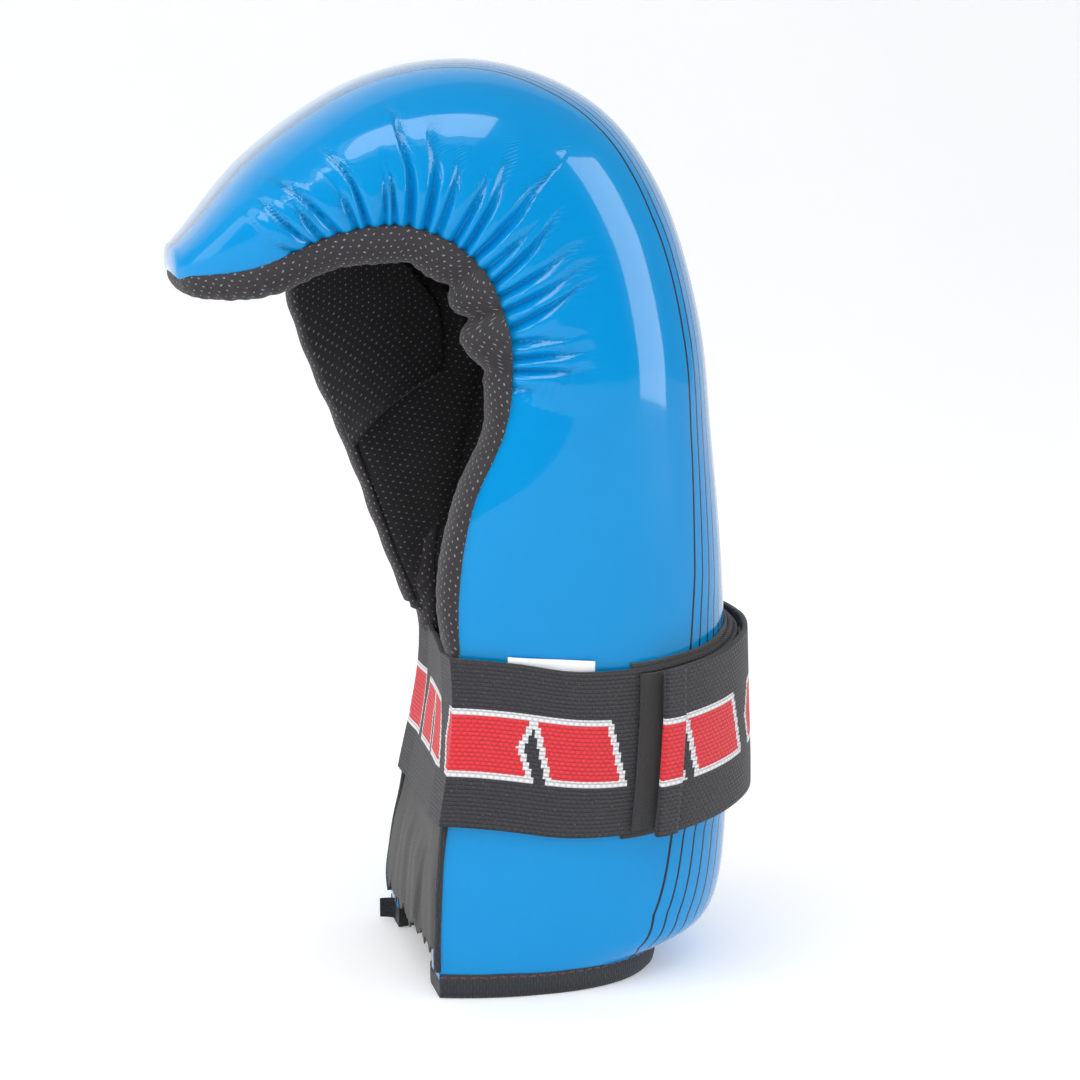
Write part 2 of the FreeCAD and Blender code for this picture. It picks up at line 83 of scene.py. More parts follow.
# edge x, edge z, back x, back z, half width, set-back of the thumb side, reach of the edge roll
SECTIONS = np.array([
    (-17.0, RIM_Z, 58.0, RIM_Z, 47.0, 0.0, 0.6),
    (-17.5, 20.0, 77.5, 16.5, 50.5, 1.0, 0.6),
    (-16.5, 48.0, 82.5, 48.0, 53.0, 6.0, 0.6),
    (-11.5, 85.0, 81.5, 88.0, 53.5, 8.5, 0.6),
    (-12.5, 122.0, 79.5, 128.0, 55.0, 10.0, 4.6),
    (-8.5, 150.0, 75.5, 166.0, 56.5, 11.2, 3.6),
    (1.5, 174.0, 70.5, 204.0, 57.0, 7.0, 4.0),
    (2.5, 198.0, 58.0, 242.0, 57.0, 9.5, 7.0),
    (-6.0, 220.0, 37.0, 268.0, 56.5, 11.0, 8.5),
    (-25.0, 231.0, 4.0, 280.0, 55.0, 13.0, 8.5),
    (-46.0, 229.0, -31.0, 275.0, 51.0, 11.0, 8.8),
    (-68.0, 219.5, -64.0, 254.0, 43.0, 6.0, 7.5),
    (-86.0, 216.5, -86.0, 229.0, 27.0, 1.0, 6.0),
    (-94.5, 215.5, -95.5, 219.5, 8.0, 0.0, 4.5),
])
LAST = len(SECTIONS) - 1
X_SHIFT = 2.0
SECTIONS[:, (0, 2)] += X_SHIFT
CORNER_START, CORNER_POWER, TOE_IN = 0.35, 2.4, 0.09
LINING, BACK_FOAM, SIDE_FOAM = 1.6, 22.0, 14.0
BACK_SHARE, SIDE_SHARE, CAVITY_END = 0.56, 0.32, 11.35


def table_value(column, s):
    """Catmull-Rom curve through one column of the table."""
    v = SECTIONS[:, column]
    i = min(int(s), LAST - 1)
    t = s - i
    b, c = v[i], v[i + 1]
    a = v[i - 1] if i else 2 * b - c
    d = v[i + 2] if i + 2 <= LAST else 2 * c - b
    return 0.5 * (2 * b + (c - a) * t + (2 * a - 5 * b + 4 * c - d) * t**2 + (3 * b - a - 3 * c + d) * t**3)


def frame_at(s):
    """Edge point, unit direction to the back, depth and half width of section s."""
    edge = np.array([table_value(0, s), 0.0, table_value(1, s)])
    back = np.array([table_value(2, s), 0.0, table_value(3, s)])
    depth = float(np.linalg.norm(back - edge))
    return edge, (back - edge) / depth, depth, table_value(4, s)


def set_back(s):
    """How far the thumb side's edge lies behind the other edge."""
    return table_value(5, s)


def place(s, q, y):
    """Points in the frame, in millimetres, from depth q and width y in section s."""
    edge, across, _, _ = frame_at(s)
    q, y = np.broadcast_arrays(np.asarray(q, float), np.asarray(y, float))
    points = edge + q[..., None] * across
    points[..., 1] += y
    return points


def back_foam(s):
    return min(BACK_FOAM, BACK_SHARE * frame_at(s)[2])


def side_foam(s):
    return min(SIDE_FOAM, SIDE_SHARE * frame_at(s)[3])


def half_width(q, depth, width, start=0.0):
    """Half width at depth q: a leaning wall, then a superellipse round the back."""
    bend = max(CORNER_START * depth, start + 2.0)
    q = np.asarray(q, float)
    wall = width * (1 - TOE_IN * np.clip(1 - q / bend, 0, None) ** 2)
    share = np.clip((q - bend) / (depth - bend), 0, 1)
    return wall * (1 - share**CORNER_POWER) ** (1 / CORNER_POWER)


def half_curve(depth, width, start):
    bend = max(CORNER_START * depth, start + 2.0)
    wall = np.linspace(start, bend, 12, endpoint=False)
    turn = np.sin(np.linspace(0, math.pi / 2, 60)) ** (2 / CORNER_POWER)
    q = np.concatenate([wall, bend + (depth - bend) * turn])
    return q, half_width(q, depth, width, start)


def u_curve(s, back_inset, side_inset, lift=0.0, cut=None):
    """(q, y) points of the U at section s from the near edge to the far one."""
    _, _, depth, width = frame_at(s)
    cut = set_back(s) if cut is None else cut
    nq, ny = half_curve(depth - back_inset + lift, width - side_inset + lift, 0.0)
    fq, fy = half_curve(depth - back_inset + lift, width - side_inset + lift, cut)
    return np.concatenate([np.c_[nq, -ny], np.c_[fq, fy][-2::-1]])


def resample(points, shares):
    """Points at shares of the length of a line, and the length itself."""
    step = np.linalg.norm(np.diff(points, axis=0), axis=1)
    at = np.concatenate([[0], np.cumsum(step)])
    total = at[-1]
    return np.stack([np.interp(shares * total, at, points[:, k]) for k in range(points.shape[1])], 1), total


def wall_end(s, side):
    """Outer and inner half width of a wall's end, and the q that it stands at."""
    _, _, depth, width = frame_at(s)
    start = set_back(s) if side > 0 else 0.0
    outer = float(half_width(start, depth, width, start))
    inner_depth = depth - back_foam(s) - LINING
    inner = float(half_width(start, inner_depth, width - side_foam(s) - LINING, start))
    return outer, inner, start


def smooth(x, low=0.0, high=1.0):
    t = np.clip((np.asarray(x, float) - low) / (high - low), 0, 1)
    return t * t * (3 - 2 * t)


# %% [markdown]
# Two helpers turn arrays of points into meshes. A grid of rows and columns becomes
# quads, which smooth well and take a UV map measured in millimetres, so a weave or a
# printed line keeps its real size on every piece.

# %% Mesh helpers
def new_object(name, points, faces, uv=None):
    """A mesh object from millimetre points; uv has one pair per face corner."""
    mesh = bpy.data.meshes.new(name)
    mesh.from_pydata((np.asarray(points) * MM).tolist(), [], [list(f) for f in faces])
    if uv is not None:
        layer = mesh.uv_layers.new(name="cloth_mm")
        layer.data.foreach_set("uv", np.asarray(uv, np.float32).ravel())
    mesh.validate()
    mesh.shade_smooth()
    obj = bpy.data.objects.new(name, mesh)
    bpy.context.scene.collection.objects.link(obj)
    return obj


def grid_faces(rows, cols, wrap=False):
    """Quads of a grid; wrap joins the last column to the first."""
    r, c = np.meshgrid(np.arange(rows - 1), np.arange(cols if wrap else cols - 1), indexing="ij")
    n = (c + 1) % cols
    return np.stack([r * cols + c, r * cols + n, (r + 1) * cols + n, (r + 1) * cols + c], -1).reshape(-1, 4)


def grid_object(name, points, uv=None, wrap=False, caps=(), flip=False):
    """An object from a rows x columns array of points; caps closes the first or last row."""
    rows, cols = points.shape[:2]
    faces = grid_faces(rows, cols, wrap)
    if uv is None:
        uv = np.zeros((rows, cols, 2))
    flat = uv.reshape(-1, 2)
    corner = flat[faces].copy()
    if wrap:
        last = faces.reshape(rows - 1, cols, 4)[:, -1]
        step = flat[last[:, 0]] - flat[last[:, 0] - 1]
        corner = corner.reshape(rows - 1, cols, 4, 2)
        corner[:, -1, 1] = corner[:, -1, 0] + step
        corner[:, -1, 2] = corner[:, -1, 3] + step
        corner = corner.reshape(-1, 4, 2)
    faces, corners = faces.tolist(), list(corner.reshape(-1, 2))
    if 0 in caps:
        faces.append(list(range(cols))[::-1])
        corners += [flat[k] for k in faces[-1]]
    if -1 in caps:
        faces.append([(rows - 1) * cols + k for k in range(cols)])
        corners += [flat[k] for k in faces[-1]]
    if flip:
        start, turned = 0, []
        for f in faces:
            turned += corners[start:start + len(f)][::-1]
            start += len(f)
        faces, corners = [f[::-1] for f in faces], turned
    return new_object(name, points.reshape(-1, 3), faces, np.array(corners))


def apply_modifier(obj, kind, **settings):
    """Adds one modifier and applies it, as by hand."""
    bpy.ops.object.select_all(action="DESELECT")
    bpy.context.view_layer.objects.active = obj
    obj.select_set(True)
    modifier = obj.modifiers.new(kind.title(), kind)
    for key, value in settings.items():
        setattr(modifier, key, value)
    bpy.ops.object.modifier_apply(modifier=modifier.name)
    obj.select_set(False)


def face_outward(obj):
    """Turns every face of a closed piece outward."""
    work = bmesh.new()
    work.from_mesh(obj.data)
    bmesh.ops.recalc_face_normals(work, faces=work.faces)
    work.to_mesh(obj.data)
    work.free()


def finish_piece(obj, body, slot, material, *nodes):
    """Material, body and the solids that the piece stands for; slot is not used."""
    face_outward(obj)
    obj.data.materials.clear()
    obj.data.materials.append(material)
    if body:
        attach(obj, body)
    if nodes:
        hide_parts(*nodes)
    print(f"{obj.name}: {len(obj.data.polygons)} faces")
    return obj


# %% [markdown]
# Materials come from a few shared node groups. Each group reads a vector in
# millimetres and puts out masks and heights only. The Principled BSDF stays in each
# material, where its sheen, coat and roughness are plain numbers.

# %% Node helpers
class Nodes:
    """Short names for building one node tree."""

    def __init__(self, tree):
        self.tree = tree

    def add(self, kind, **values):
        node = self.tree.nodes.new(kind)
        for key, value in values.items():
            setattr(node, key, value)
        return node

    def feed(self, socket, value):
        if isinstance(value, bpy.types.NodeSocket):
            self.tree.links.new(value, socket)
        elif value is not None:
            socket.default_value = value

    def math(self, operation, a, b=None, c=None, clamp=False):
        node = self.add("ShaderNodeMath", operation=operation, use_clamp=clamp)
        for socket, value in zip(node.inputs, (a, b, c)):
            self.feed(socket, value)
        return node.outputs[0]

    def mix(self, factor, a, b):
        node = self.add("ShaderNodeMix", data_type="RGBA")
        for name, value in (("Factor", factor), ("A", a), ("B", b)):
            socket = [x for x in node.inputs if x.name == name and x.enabled][0]
            if isinstance(value, tuple) and len(value) == 3:
                value = (*value, 1.0)
            self.feed(socket, value)
        return [x for x in node.outputs if x.enabled][0]

    def ramp(self, value, low, high, clamp=True):
        node = self.add("ShaderNodeMapRange", clamp=clamp)
        for socket, v in zip(node.inputs[:3], (value, low, high)):
            self.feed(socket, v)
        return node.outputs[0]

    def noise(self, vector, scale, detail=2.0, roughness=0.5):
        node = self.add("ShaderNodeTexNoise")
        self.feed(node.inputs["Vector"], vector)
        self.feed(node.inputs["Scale"], scale)
        self.feed(node.inputs["Detail"], detail)
        self.feed(node.inputs["Roughness"], roughness)
        return node.outputs["Fac"]

    def split(self, vector):
        node = self.add("ShaderNodeSeparateXYZ")
        self.feed(node.inputs[0], vector)
        return node.outputs[0], node.outputs[1], node.outputs[2]

    def join(self, x, y, z=0.0):
        node = self.add("ShaderNodeCombineXYZ")
        for socket, value in zip(node.inputs, (x, y, z)):
            self.feed(socket, value)
        return node.outputs[0]

    def scaled(self, vector, scale):
        node = self.add("ShaderNodeVectorMath", operation="SCALE")
        self.feed(node.inputs[0], vector)
        self.feed(node.inputs["Scale"], scale)
        return node.outputs[0]

    def bump(self, height, strength, distance, normal=None):
        node = self.add("ShaderNodeBump")
        self.feed(node.inputs["Height"], height)
        self.feed(node.inputs["Strength"], strength)
        self.feed(node.inputs["Distance"], distance)
        if normal is not None:
            self.feed(node.inputs["Normal"], normal)
        return node.outputs["Normal"]

    def group(self, tree, **values):
        node = self.add("ShaderNodeGroup")
        node.node_tree = tree
        for name, value in values.items():
            self.feed(node.inputs[name], value)
        return node.outputs


def new_group(name, inputs, outputs):
    """An empty node group with named float or vector sockets."""
    tree = bpy.data.node_groups.new(name, "ShaderNodeTree")
    for socket, kind in inputs:
        tree.interface.new_socket(socket, in_out="INPUT", socket_type=kind)
    for socket in outputs:
        tree.interface.new_socket(socket, in_out="OUTPUT", socket_type="NodeSocketFloat")
    n = Nodes(tree)
    return tree, n, n.add("NodeGroupInput").outputs, n.add("NodeGroupOutput").inputs


FLOAT, VECTOR = "NodeSocketFloat", "NodeSocketVector"


# %% Node group: the mesh fabric's dots
def make_dot_group():
    """Spacer mesh: rows of short dashes, every other row shifted by half a step; the mesh cloth paints them
    pale as their highlights.
    """
    tree, n, inp, out = new_group(
        "spacer_mesh", [("Vector", VECTOR), ("Pitch", FLOAT), ("Row", FLOAT)], ["Dot", "Height"])
    x, y, _ = n.split(inp["Vector"])
    row = n.math("DIVIDE", y, inp["Row"])
    index = n.math("FLOOR", row)
    odd = n.math("FLOORED_MODULO", index, 2.0)
    column = n.math("ADD", n.math("DIVIDE", x, inp["Pitch"]), n.math("MULTIPLY", odd, 0.5))
    dx = n.math("MULTIPLY", n.math("SUBTRACT", n.math("FRACT", column), 0.5), inp["Pitch"])
    dy = n.math("MULTIPLY", n.math("SUBTRACT", n.math("FRACT", row), 0.5), inp["Row"])
    lean = n.math("ADD", dx, n.math("MULTIPLY", dy, 0.45))
    reach = n.math("SQRT", n.math("ADD", n.math("POWER", n.math("DIVIDE", lean, 0.4), 2.0),
                                  n.math("POWER", n.math("DIVIDE", dy, 0.27), 2.0)))
    cell = n.join(n.math("FLOOR", column), index)
    white = n.add("ShaderNodeTexWhiteNoise", noise_dimensions="2D")
    n.feed(white.inputs["Vector"], cell)
    size = n.ramp(white.outputs["Value"], 0.0, 1.0)
    edge = n.math("ADD", 0.75, n.math("MULTIPLY", size, 0.45))
    dot = n.ramp(reach, edge, n.math("SUBTRACT", edge, 0.45))
    n.feed(out["Dot"], dot)
    fine = n.noise(inp["Vector"], 2.6, 2.0)
    n.feed(out["Height"], n.math("ADD", n.math("MULTIPLY", dot, 0.5), fine))
    return tree


SPACER_MESH = make_dot_group()


# %% Node group: knitted ribs of elastic and ribbon
def make_rib_group():
    """Rows of small stitches: Across runs along the ribs, in millimetres."""
    tree, n, inp, out = new_group(
        "ribbed_knit", [("Vector", VECTOR), ("Rib", FLOAT), ("Stitch", FLOAT)], ["Height", "Shade"])
    x, y, _ = n.split(inp["Vector"])
    rib = n.math("DIVIDE", y, inp["Rib"])
    odd = n.math("FLOORED_MODULO", n.math("FLOOR", rib), 2.0)
    along = n.math("ADD", n.math("DIVIDE", x, inp["Stitch"]), n.math("MULTIPLY", odd, 0.5))
    ridge = n.math("ABSOLUTE", n.math("SINE", n.math("MULTIPLY", rib, math.pi)))
    loop = n.math("ABSOLUTE", n.math("SINE", n.math("MULTIPLY", along, math.pi)))
    height = n.math("MULTIPLY", n.math("POWER", ridge, 0.6),
                    n.math("ADD", 0.45, n.math("MULTIPLY", loop, 0.55)))
    n.feed(out["Height"], height)
    n.feed(out["Shade"], n.math("ADD", n.math("MULTIPLY", height, 0.8),
                                n.math("MULTIPLY", n.noise(inp["Vector"], 0.9, 3.0), 0.35)))
    return tree


RIBBED_KNIT = make_rib_group()


# %% Node group: uneven wear and dust
def make_wear_group():
    """Soft cloudy variation that keeps large areas from looking flat."""
    tree, n, inp, out = new_group("cloudy_wear", [("Vector", VECTOR), ("Size", FLOAT)], ["Cloud", "Speck"])
    scale = n.math("DIVIDE", 1.0, inp["Size"])
    n.feed(out["Cloud"], n.noise(inp["Vector"], scale, 3.0))
    speck = n.noise(inp["Vector"], n.math("MULTIPLY", scale, 14.0), 1.0)
    n.feed(out["Speck"], n.ramp(speck, 0.68, 0.76))
    return tree


CLOUDY_WEAR = make_wear_group()


# %% Material helper
def new_material(name, color, roughness, **extra):
    """A Principled material; extra sets plain socket values such as sheen and coat."""
    material = bpy.data.materials.new(name)
    material.use_nodes = True
    n = Nodes(material.node_tree)
    shader = material.node_tree.nodes["Principled BSDF"]
    shader.inputs["Base Color"].default_value = (*color, 1.0)
    shader.inputs["Roughness"].default_value = roughness
    for key, value in extra.items():
        shader.inputs[key.replace("_", " ")].default_value = value
    material.diffuse_color = (*color, 1.0)
    return material, n, shader


def cloth_vector(n):
    """The piece's own UV map, which is measured in millimetres."""
    return n.add("ShaderNodeUVMap", uv_map="cloth_mm").outputs[0]


def object_vector(n):
    """Object coordinates in millimetres."""
    return n.scaled(n.add("ShaderNodeTexCoord").outputs["Object"], 1 / MM)


# %% [markdown]
# The outer fabric is polyurethane-coated and glossy, a saturated sky blue. Thin
# printed lines run beside the back of the hand. They are drawn from the UV map, whose
# first number is the distance round the glove from the middle of the back, so each
# line follows the shape by itself. The crinkle at the gathers is a stored attribute.

# %% Material: coated blue skin
LINE_COUNT, LINE_STEP = 7, 0.087
LINE_HALF = 0.38
BLUE_DARK, BLUE_LIGHT, LINE_BLACK = (0.0, 0.272, 0.66), (0.0, 0.312, 0.715), (0.012, 0.012, 0.016)


def make_blue():
    material, n, shader = new_material(
        "glossy_blue_coating", (0.0, 0.29, 0.69), 0.2, Coat_Weight=0.85, Coat_Roughness=0.05,
        Coat_IOR=1.33, Specular_IOR_Level=0.05)
    cloth, where = cloth_vector(n), object_vector(n)
    wear = n.group(CLOUDY_WEAR, Vector=where, Size=45.0)
    share = n.add("ShaderNodeAttribute", attribute_name="back_share").outputs["Fac"]
    span = n.add("ShaderNodeAttribute", attribute_name="line_span").outputs["Fac"]
    lines = 0.0
    for k in range(LINE_COUNT):
        width = LINE_HALF + (0.10 if k == 0 else 0.0)
        gap = n.math("MULTIPLY", n.math("ABSOLUTE", n.math("SUBTRACT", share, 1.0 - LINE_STEP * k)), span)
        lines = n.math("MAXIMUM", lines, n.ramp(gap, width + 0.12, width - 0.12))
    blue = n.mix(wear["Cloud"], BLUE_DARK, BLUE_LIGHT)
    n.feed(shader.inputs["Base Color"], n.mix(lines, blue, LINE_BLACK))
    crinkle = n.add("ShaderNodeAttribute", attribute_name="crinkle").outputs["Fac"]
    folds = n.add("ShaderNodeTexWave", wave_type="BANDS", bands_direction="Y")
    n.feed(folds.inputs["Vector"], cloth)
    n.feed(folds.inputs["Scale"], 0.22)
    n.feed(folds.inputs["Distortion"], 7.0)
    n.feed(folds.inputs["Detail"], 3.0)
    n.feed(folds.inputs["Detail Scale"], 0.35)
    fine = n.math("MULTIPLY", folds.outputs["Fac"], crinkle)
    slow = n.math("MULTIPLY", n.noise(where, 0.028, 2.0), 1.3)
    normal = n.bump(slow, 0.35, 2.0 * MM)
    normal = n.bump(fine, 0.55, 0.5 * MM, normal)
    normal = n.bump(n.noise(where, 2.2, 2.0), 0.05, 0.2 * MM, normal)
    n.feed(shader.inputs["Normal"], normal)
    n.feed(shader.inputs["Roughness"], n.math("ADD", 0.17, n.math("MULTIPLY", wear["Cloud"], 0.09)))
    return material


BLUE = make_blue()


# %% [markdown]
# The palm side is lined with black spacer mesh. It has small dashes in staggered rows,
# whose pale colour is a painted highlight. Where the cloth turns away from the light the
# dots fade, which comes free from real shading, so the material only needs the dot mask and a little relief.

# %% Material: dotted spacer mesh
def make_mesh_cloth(name, base, dot_highlight_color):
    material, n, shader = new_material(name, base, 0.75, Sheen_Weight=0.1, Sheen_Roughness=0.5)
    cloth = cloth_vector(n)
    dots = n.group(SPACER_MESH, Vector=cloth, Pitch=2.5, Row=1.9)
    wear = n.group(CLOUDY_WEAR, Vector=cloth, Size=16.0)
    dark = tuple(0.7 * v for v in base)
    ground = n.mix(wear["Cloud"], dark, tuple(1.35 * v for v in base))
    # The dots themselves are real; their pale colour over the dark ground is a painted highlight.
    n.feed(shader.inputs["Base Color"], n.mix(dots["Dot"], ground, dot_highlight_color))
    n.feed(shader.inputs["Roughness"], n.math("SUBTRACT", 0.8, n.math("MULTIPLY", dots["Dot"], 0.35)))
    n.feed(shader.inputs["Normal"], n.bump(dots["Height"], 0.6, 0.35 * MM))
    return material


# The last colour of each cloth is the painted highlight on its dots.
ROLL_CLOTH = make_mesh_cloth("spacer_mesh_roll", (0.018, 0.015, 0.017), (0.26, 0.26, 0.30))
LINING_CLOTH = make_mesh_cloth("spacer_mesh_lining", (0.009, 0.008, 0.0095), (0.17, 0.17, 0.2))


# %% Material: knitted cloths and ribbon
def make_knit(name, base, rib, stitch, depth, sheen=0.3):
    material, n, shader = new_material(name, base, 0.8, Sheen_Weight=sheen, Sheen_Roughness=0.4)
    cloth = cloth_vector(n)
    knit = n.group(RIBBED_KNIT, Vector=cloth, Rib=rib, Stitch=stitch)
    wear = n.group(CLOUDY_WEAR, Vector=cloth, Size=9.0)
    shade = n.math("MULTIPLY", knit["Shade"], n.math("ADD", 0.75, n.math("MULTIPLY", wear["Cloud"], 0.5)))
    dark, light = tuple(0.45 * v for v in base), tuple(1.9 * v for v in base)
    n.feed(shader.inputs["Base Color"], n.mix(shade, dark, light))
    n.feed(shader.inputs["Normal"], n.bump(knit["Height"], 0.7, depth * MM))
    return material


RIBBON_CLOTH = make_knit("grosgrain_ribbon", (0.012, 0.015, 0.019), 0.95, 3.2, 0.35, 0.12)
STRETCH_CLOTH = make_knit("stretch_knit", (0.030, 0.029, 0.028), 0.75, 0.9, 0.25, 0.2)
PLAIN_ELASTIC = make_knit("plain_elastic", (0.014, 0.013, 0.016), 1.1, 1.7, 0.4, 0.12)
LABEL_SATIN = make_knit("label_satin", (0.82, 0.82, 0.84), 0.35, 0.5, 0.05, 0.1)

# %% [markdown]
# The strap's elastic carries a woven red and white pattern of plain leaning bars and
# arrow blocks on black. An image texture could carry it, but a pattern drawn from the
# UV map stays sharp and follows the strap round the wrist. Each block is a distance in UV space: inside
# it is red, near its border it is white. Rounding the UV to whole stitches first
# gives the stepped outline that weaving has.

# %% Material: patterned strap elastic
BLOCK_HALF_HEIGHT = 10.2
BLOCK_OUTLINE = 2.0
PATTERN_STEP = 66.0
# centre along the strap, half width, lean, and whether the lean folds at the middle
BLOCKS = [(15.5, 12.6, 0.32, False), (47.5, 15.0, 0.42, True)]
STITCH_ALONG, STITCH_ACROSS = 0.9, 0.62


def make_strap_cloth():
    material, n, shader = new_material(
        "patterned_elastic", (0.012, 0.011, 0.014), 0.75, Sheen_Weight=0.12, Sheen_Roughness=0.45)
    cloth = cloth_vector(n)
    x, y, _ = n.split(cloth)
    sx = n.math("MULTIPLY", n.math("FLOOR", n.math("DIVIDE", x, STITCH_ALONG)), STITCH_ALONG)
    sy = n.math("MULTIPLY", n.math("FLOOR", n.math("DIVIDE", y, STITCH_ACROSS)), STITCH_ACROSS)
    place_x = n.math("FLOORED_MODULO", sx, PATTERN_STEP)
    inside = None
    for centre, half, lean, folded in BLOCKS:
        height = n.math("ABSOLUTE", sy) if folded else sy
        slide = n.math("SUBTRACT", n.math("SUBTRACT", place_x, centre),
                       n.math("MULTIPLY", height, -lean if folded else lean))
        d = n.math("MAXIMUM", n.math("SUBTRACT", n.math("ABSOLUTE", slide), half),
                   n.math("SUBTRACT", n.math("ABSOLUTE", sy), BLOCK_HALF_HEIGHT))
        inside = d if inside is None else n.math("MINIMUM", inside, d)
    white = n.math("LESS_THAN", inside, 0.0)
    red = n.math("LESS_THAN", inside, -BLOCK_OUTLINE)
    knit = n.group(RIBBED_KNIT, Vector=cloth, Rib=STITCH_ACROSS * 2, Stitch=STITCH_ALONG * 2)
    wear = n.group(CLOUDY_WEAR, Vector=cloth, Size=8.0)
    black = n.mix(knit["Shade"], (0.005, 0.0045, 0.006), (0.026, 0.023, 0.029))
    lit_white = n.mix(knit["Height"], (0.42, 0.42, 0.45), (0.95, 0.95, 0.95))
    lit_red = n.mix(knit["Height"], (0.42, 0.004, 0.012), (0.93, 0.018, 0.035))
    color = n.mix(red, n.mix(white, black, lit_white), lit_red)
    lint = n.math("MULTIPLY", wear["Speck"], 0.25)
    n.feed(shader.inputs["Base Color"], n.mix(lint, color, (0.5, 0.48, 0.5)))
    raised = n.math("ADD", knit["Height"], n.math("MULTIPLY", white, 0.35))
    n.feed(shader.inputs["Normal"], n.bump(raised, 0.75, 0.45 * MM))
    return material


STRAP_CLOTH = make_strap_cloth()


# %% Material: loop pile, hooks and thread
def make_pile():
    material, n, shader = new_material("loop_pile", (0.006, 0.006, 0.007), 0.9, Sheen_Weight=0.18,
                                       Sheen_Roughness=0.6)
    cloth = cloth_vector(n)
    hair = n.math("ADD", n.noise(cloth, 1.6, 4.0, 0.7), n.noise(cloth, 5.0, 2.0, 0.6))
    n.feed(shader.inputs["Base Color"],
           n.mix(n.ramp(hair, 0.8, 1.3), (0.003, 0.003, 0.0035), (0.035, 0.033, 0.037)))
    n.feed(shader.inputs["Normal"], n.bump(hair, 0.9, 0.9 * MM))
    return material


def make_hooks():
    material, n, shader = new_material("moulded_hooks", (0.02, 0.02, 0.021), 0.45)
    cloth = cloth_vector(n)
    dots = n.group(SPACER_MESH, Vector=cloth, Pitch=1.5, Row=1.3)
    n.feed(shader.inputs["Base Color"], n.mix(dots["Dot"], (0.012, 0.012, 0.013), (0.09, 0.09, 0.095)))
    n.feed(shader.inputs["Normal"], n.bump(dots["Height"], 1.0, 0.6 * MM))
    return material


def make_thread(name, base):
    material, n, shader = new_material(name, base, 0.55, Sheen_Weight=0.3)
    where = object_vector(n)
    twist = n.noise(where, 2.5, 2.0)
    dark, light = tuple(0.5 * v for v in base), tuple(1.6 * v for v in base)
    n.feed(shader.inputs["Base Color"], n.mix(twist, dark, light))
    n.feed(shader.inputs["Normal"], n.bump(twist, 0.6, 0.2 * MM))
    return material


LOOP_PILE = make_pile()
HOOKS = make_hooks()
RED_THREAD = make_thread("dark_red_thread", (0.085, 0.012, 0.012))
print("materials:", len(bpy.data.materials))

# %% [markdown]
# The padded shell is the largest piece: coated fabric pulled over foam. At the inner
# curve of the hood the flat fabric is longer than the edge that it is sewn to, so it
# gathers into folds that fan out from the seam. Each fold here is a narrow valley
# beside a soft ridge. It is deepest at the seam and dies out along its length. The
# rows of the mesh are close together there, since a fold needs several rows to look
# round.

# %% Folds at the gathered seam
rng = np.random.default_rng(7)


def make_folds(first, last, count, longest):
    """One row per fold: section, length, depth, lean. A rest row closes each end."""
    folds = [(first, 8.0, 0.0, 0.0)]
    for k in range(count):
        t = (k + 0.5) / count
        s = first + (last - first) * (t + rng.uniform(-0.24, 0.24) / count)
        arch = math.sin(math.pi * (0.10 + 0.82 * t)) ** 0.7
        long = rng.choice([1.0, 0.85, 0.55, 0.4], p=[0.35, 0.25, 0.25, 0.15])
        length = longest * arch * long * rng.uniform(0.85, 1.1)
        depth = 3.1 * (0.35 + 0.65 * arch) * (0.6 + 0.4 * long) * rng.uniform(0.8, 1.15)
        folds.append((s, length, depth, rng.uniform(-0.0035, 0.0035)))
    return np.array(folds + [(last, 8.0, 0.0, 0.0)])


# how far a fold leans along the glove per millimetre from the seam: FAN_START + FAN_RATE * section
FAN_START, FAN_RATE = -0.116, 0.0147
NEAR_FOLDS = make_folds(6.35, 10.6, 23, 47.0)
FAR_FOLDS = make_folds(7.6, 10.4, 13, 30.0)


def fold_height(folds, s, d):
    """Height of the folds at section s and distance d (an array) from the seam, and their crinkle."""
    shake = (0.012 * np.sin(d / 6.0) + 0.009 * np.sin(d / 3.1 + 1.5)) * smooth(d, 2.0, 14.0)
    root = (s + shake - FAN_START * d) / (1 + FAN_RATE * d)
    number = np.interp(root, folds[:, 0], np.arange(len(folds)))
    nearest = np.clip(np.round(number), 0, len(folds) - 1).astype(int)
    _, length, depth, lean = folds[nearest].T
    off = np.clip(np.abs(number - nearest + lean * d * 6.0), 0, 0.5)
    reach = np.clip(d / length, 0, 1)
    fade = (1 - reach) ** 0.9 * (0.55 + 0.45 * smooth(d, 0.0, 5.0))
    valley = 1 - np.sin(math.pi * off) ** (0.85 - 0.35 * reach)
    strength = np.interp(number, np.arange(len(folds)), folds[:, 2])
    edge_pull = 0.8 * np.exp(-d / 3.0) * smooth(strength, 0.0, 1.0)
    pillow = 1.9 * smooth(strength, 0.2, 2.5) * np.exp(-((d - 10.0) / 10.0) ** 2) * (1 - valley)
    soft = 1.4 * np.exp(-((s - 8.4) / 1.6) ** 2) * np.exp(-((d - 16.0) / 14.0) ** 2)
    ends = np.exp(-((d / length - 0.7) / 0.26) ** 2)
    crinkle = ends * np.exp(-(off / 0.3) ** 2) * smooth(strength, 0.3, 1.5)
    return soft + pillow - edge_pull - depth * fade * valley, np.clip(crinkle, 0, 1)


# %% Printed lines beside the back
# section, and how far the outermost line lies from the middle of the back, in mm of width
LINE_PATH = np.array([(0.0, 38.0), (0.6, 44.0), (1.2, 46.5), (2.0, 47.0), (3.0, 45.5), (4.0, 43.5),
                      (5.0, 43.5), (6.0, 45.0), (7.0, 45.0), (7.5, 43.5), (8.0, 41.0), (8.5, 37.0),
                      (9.0, 32.0), (9.5, 28.0), (10.0, 24.0), (11.0, 18.0), (12.0, 11.0), (13.0, 5.0)])


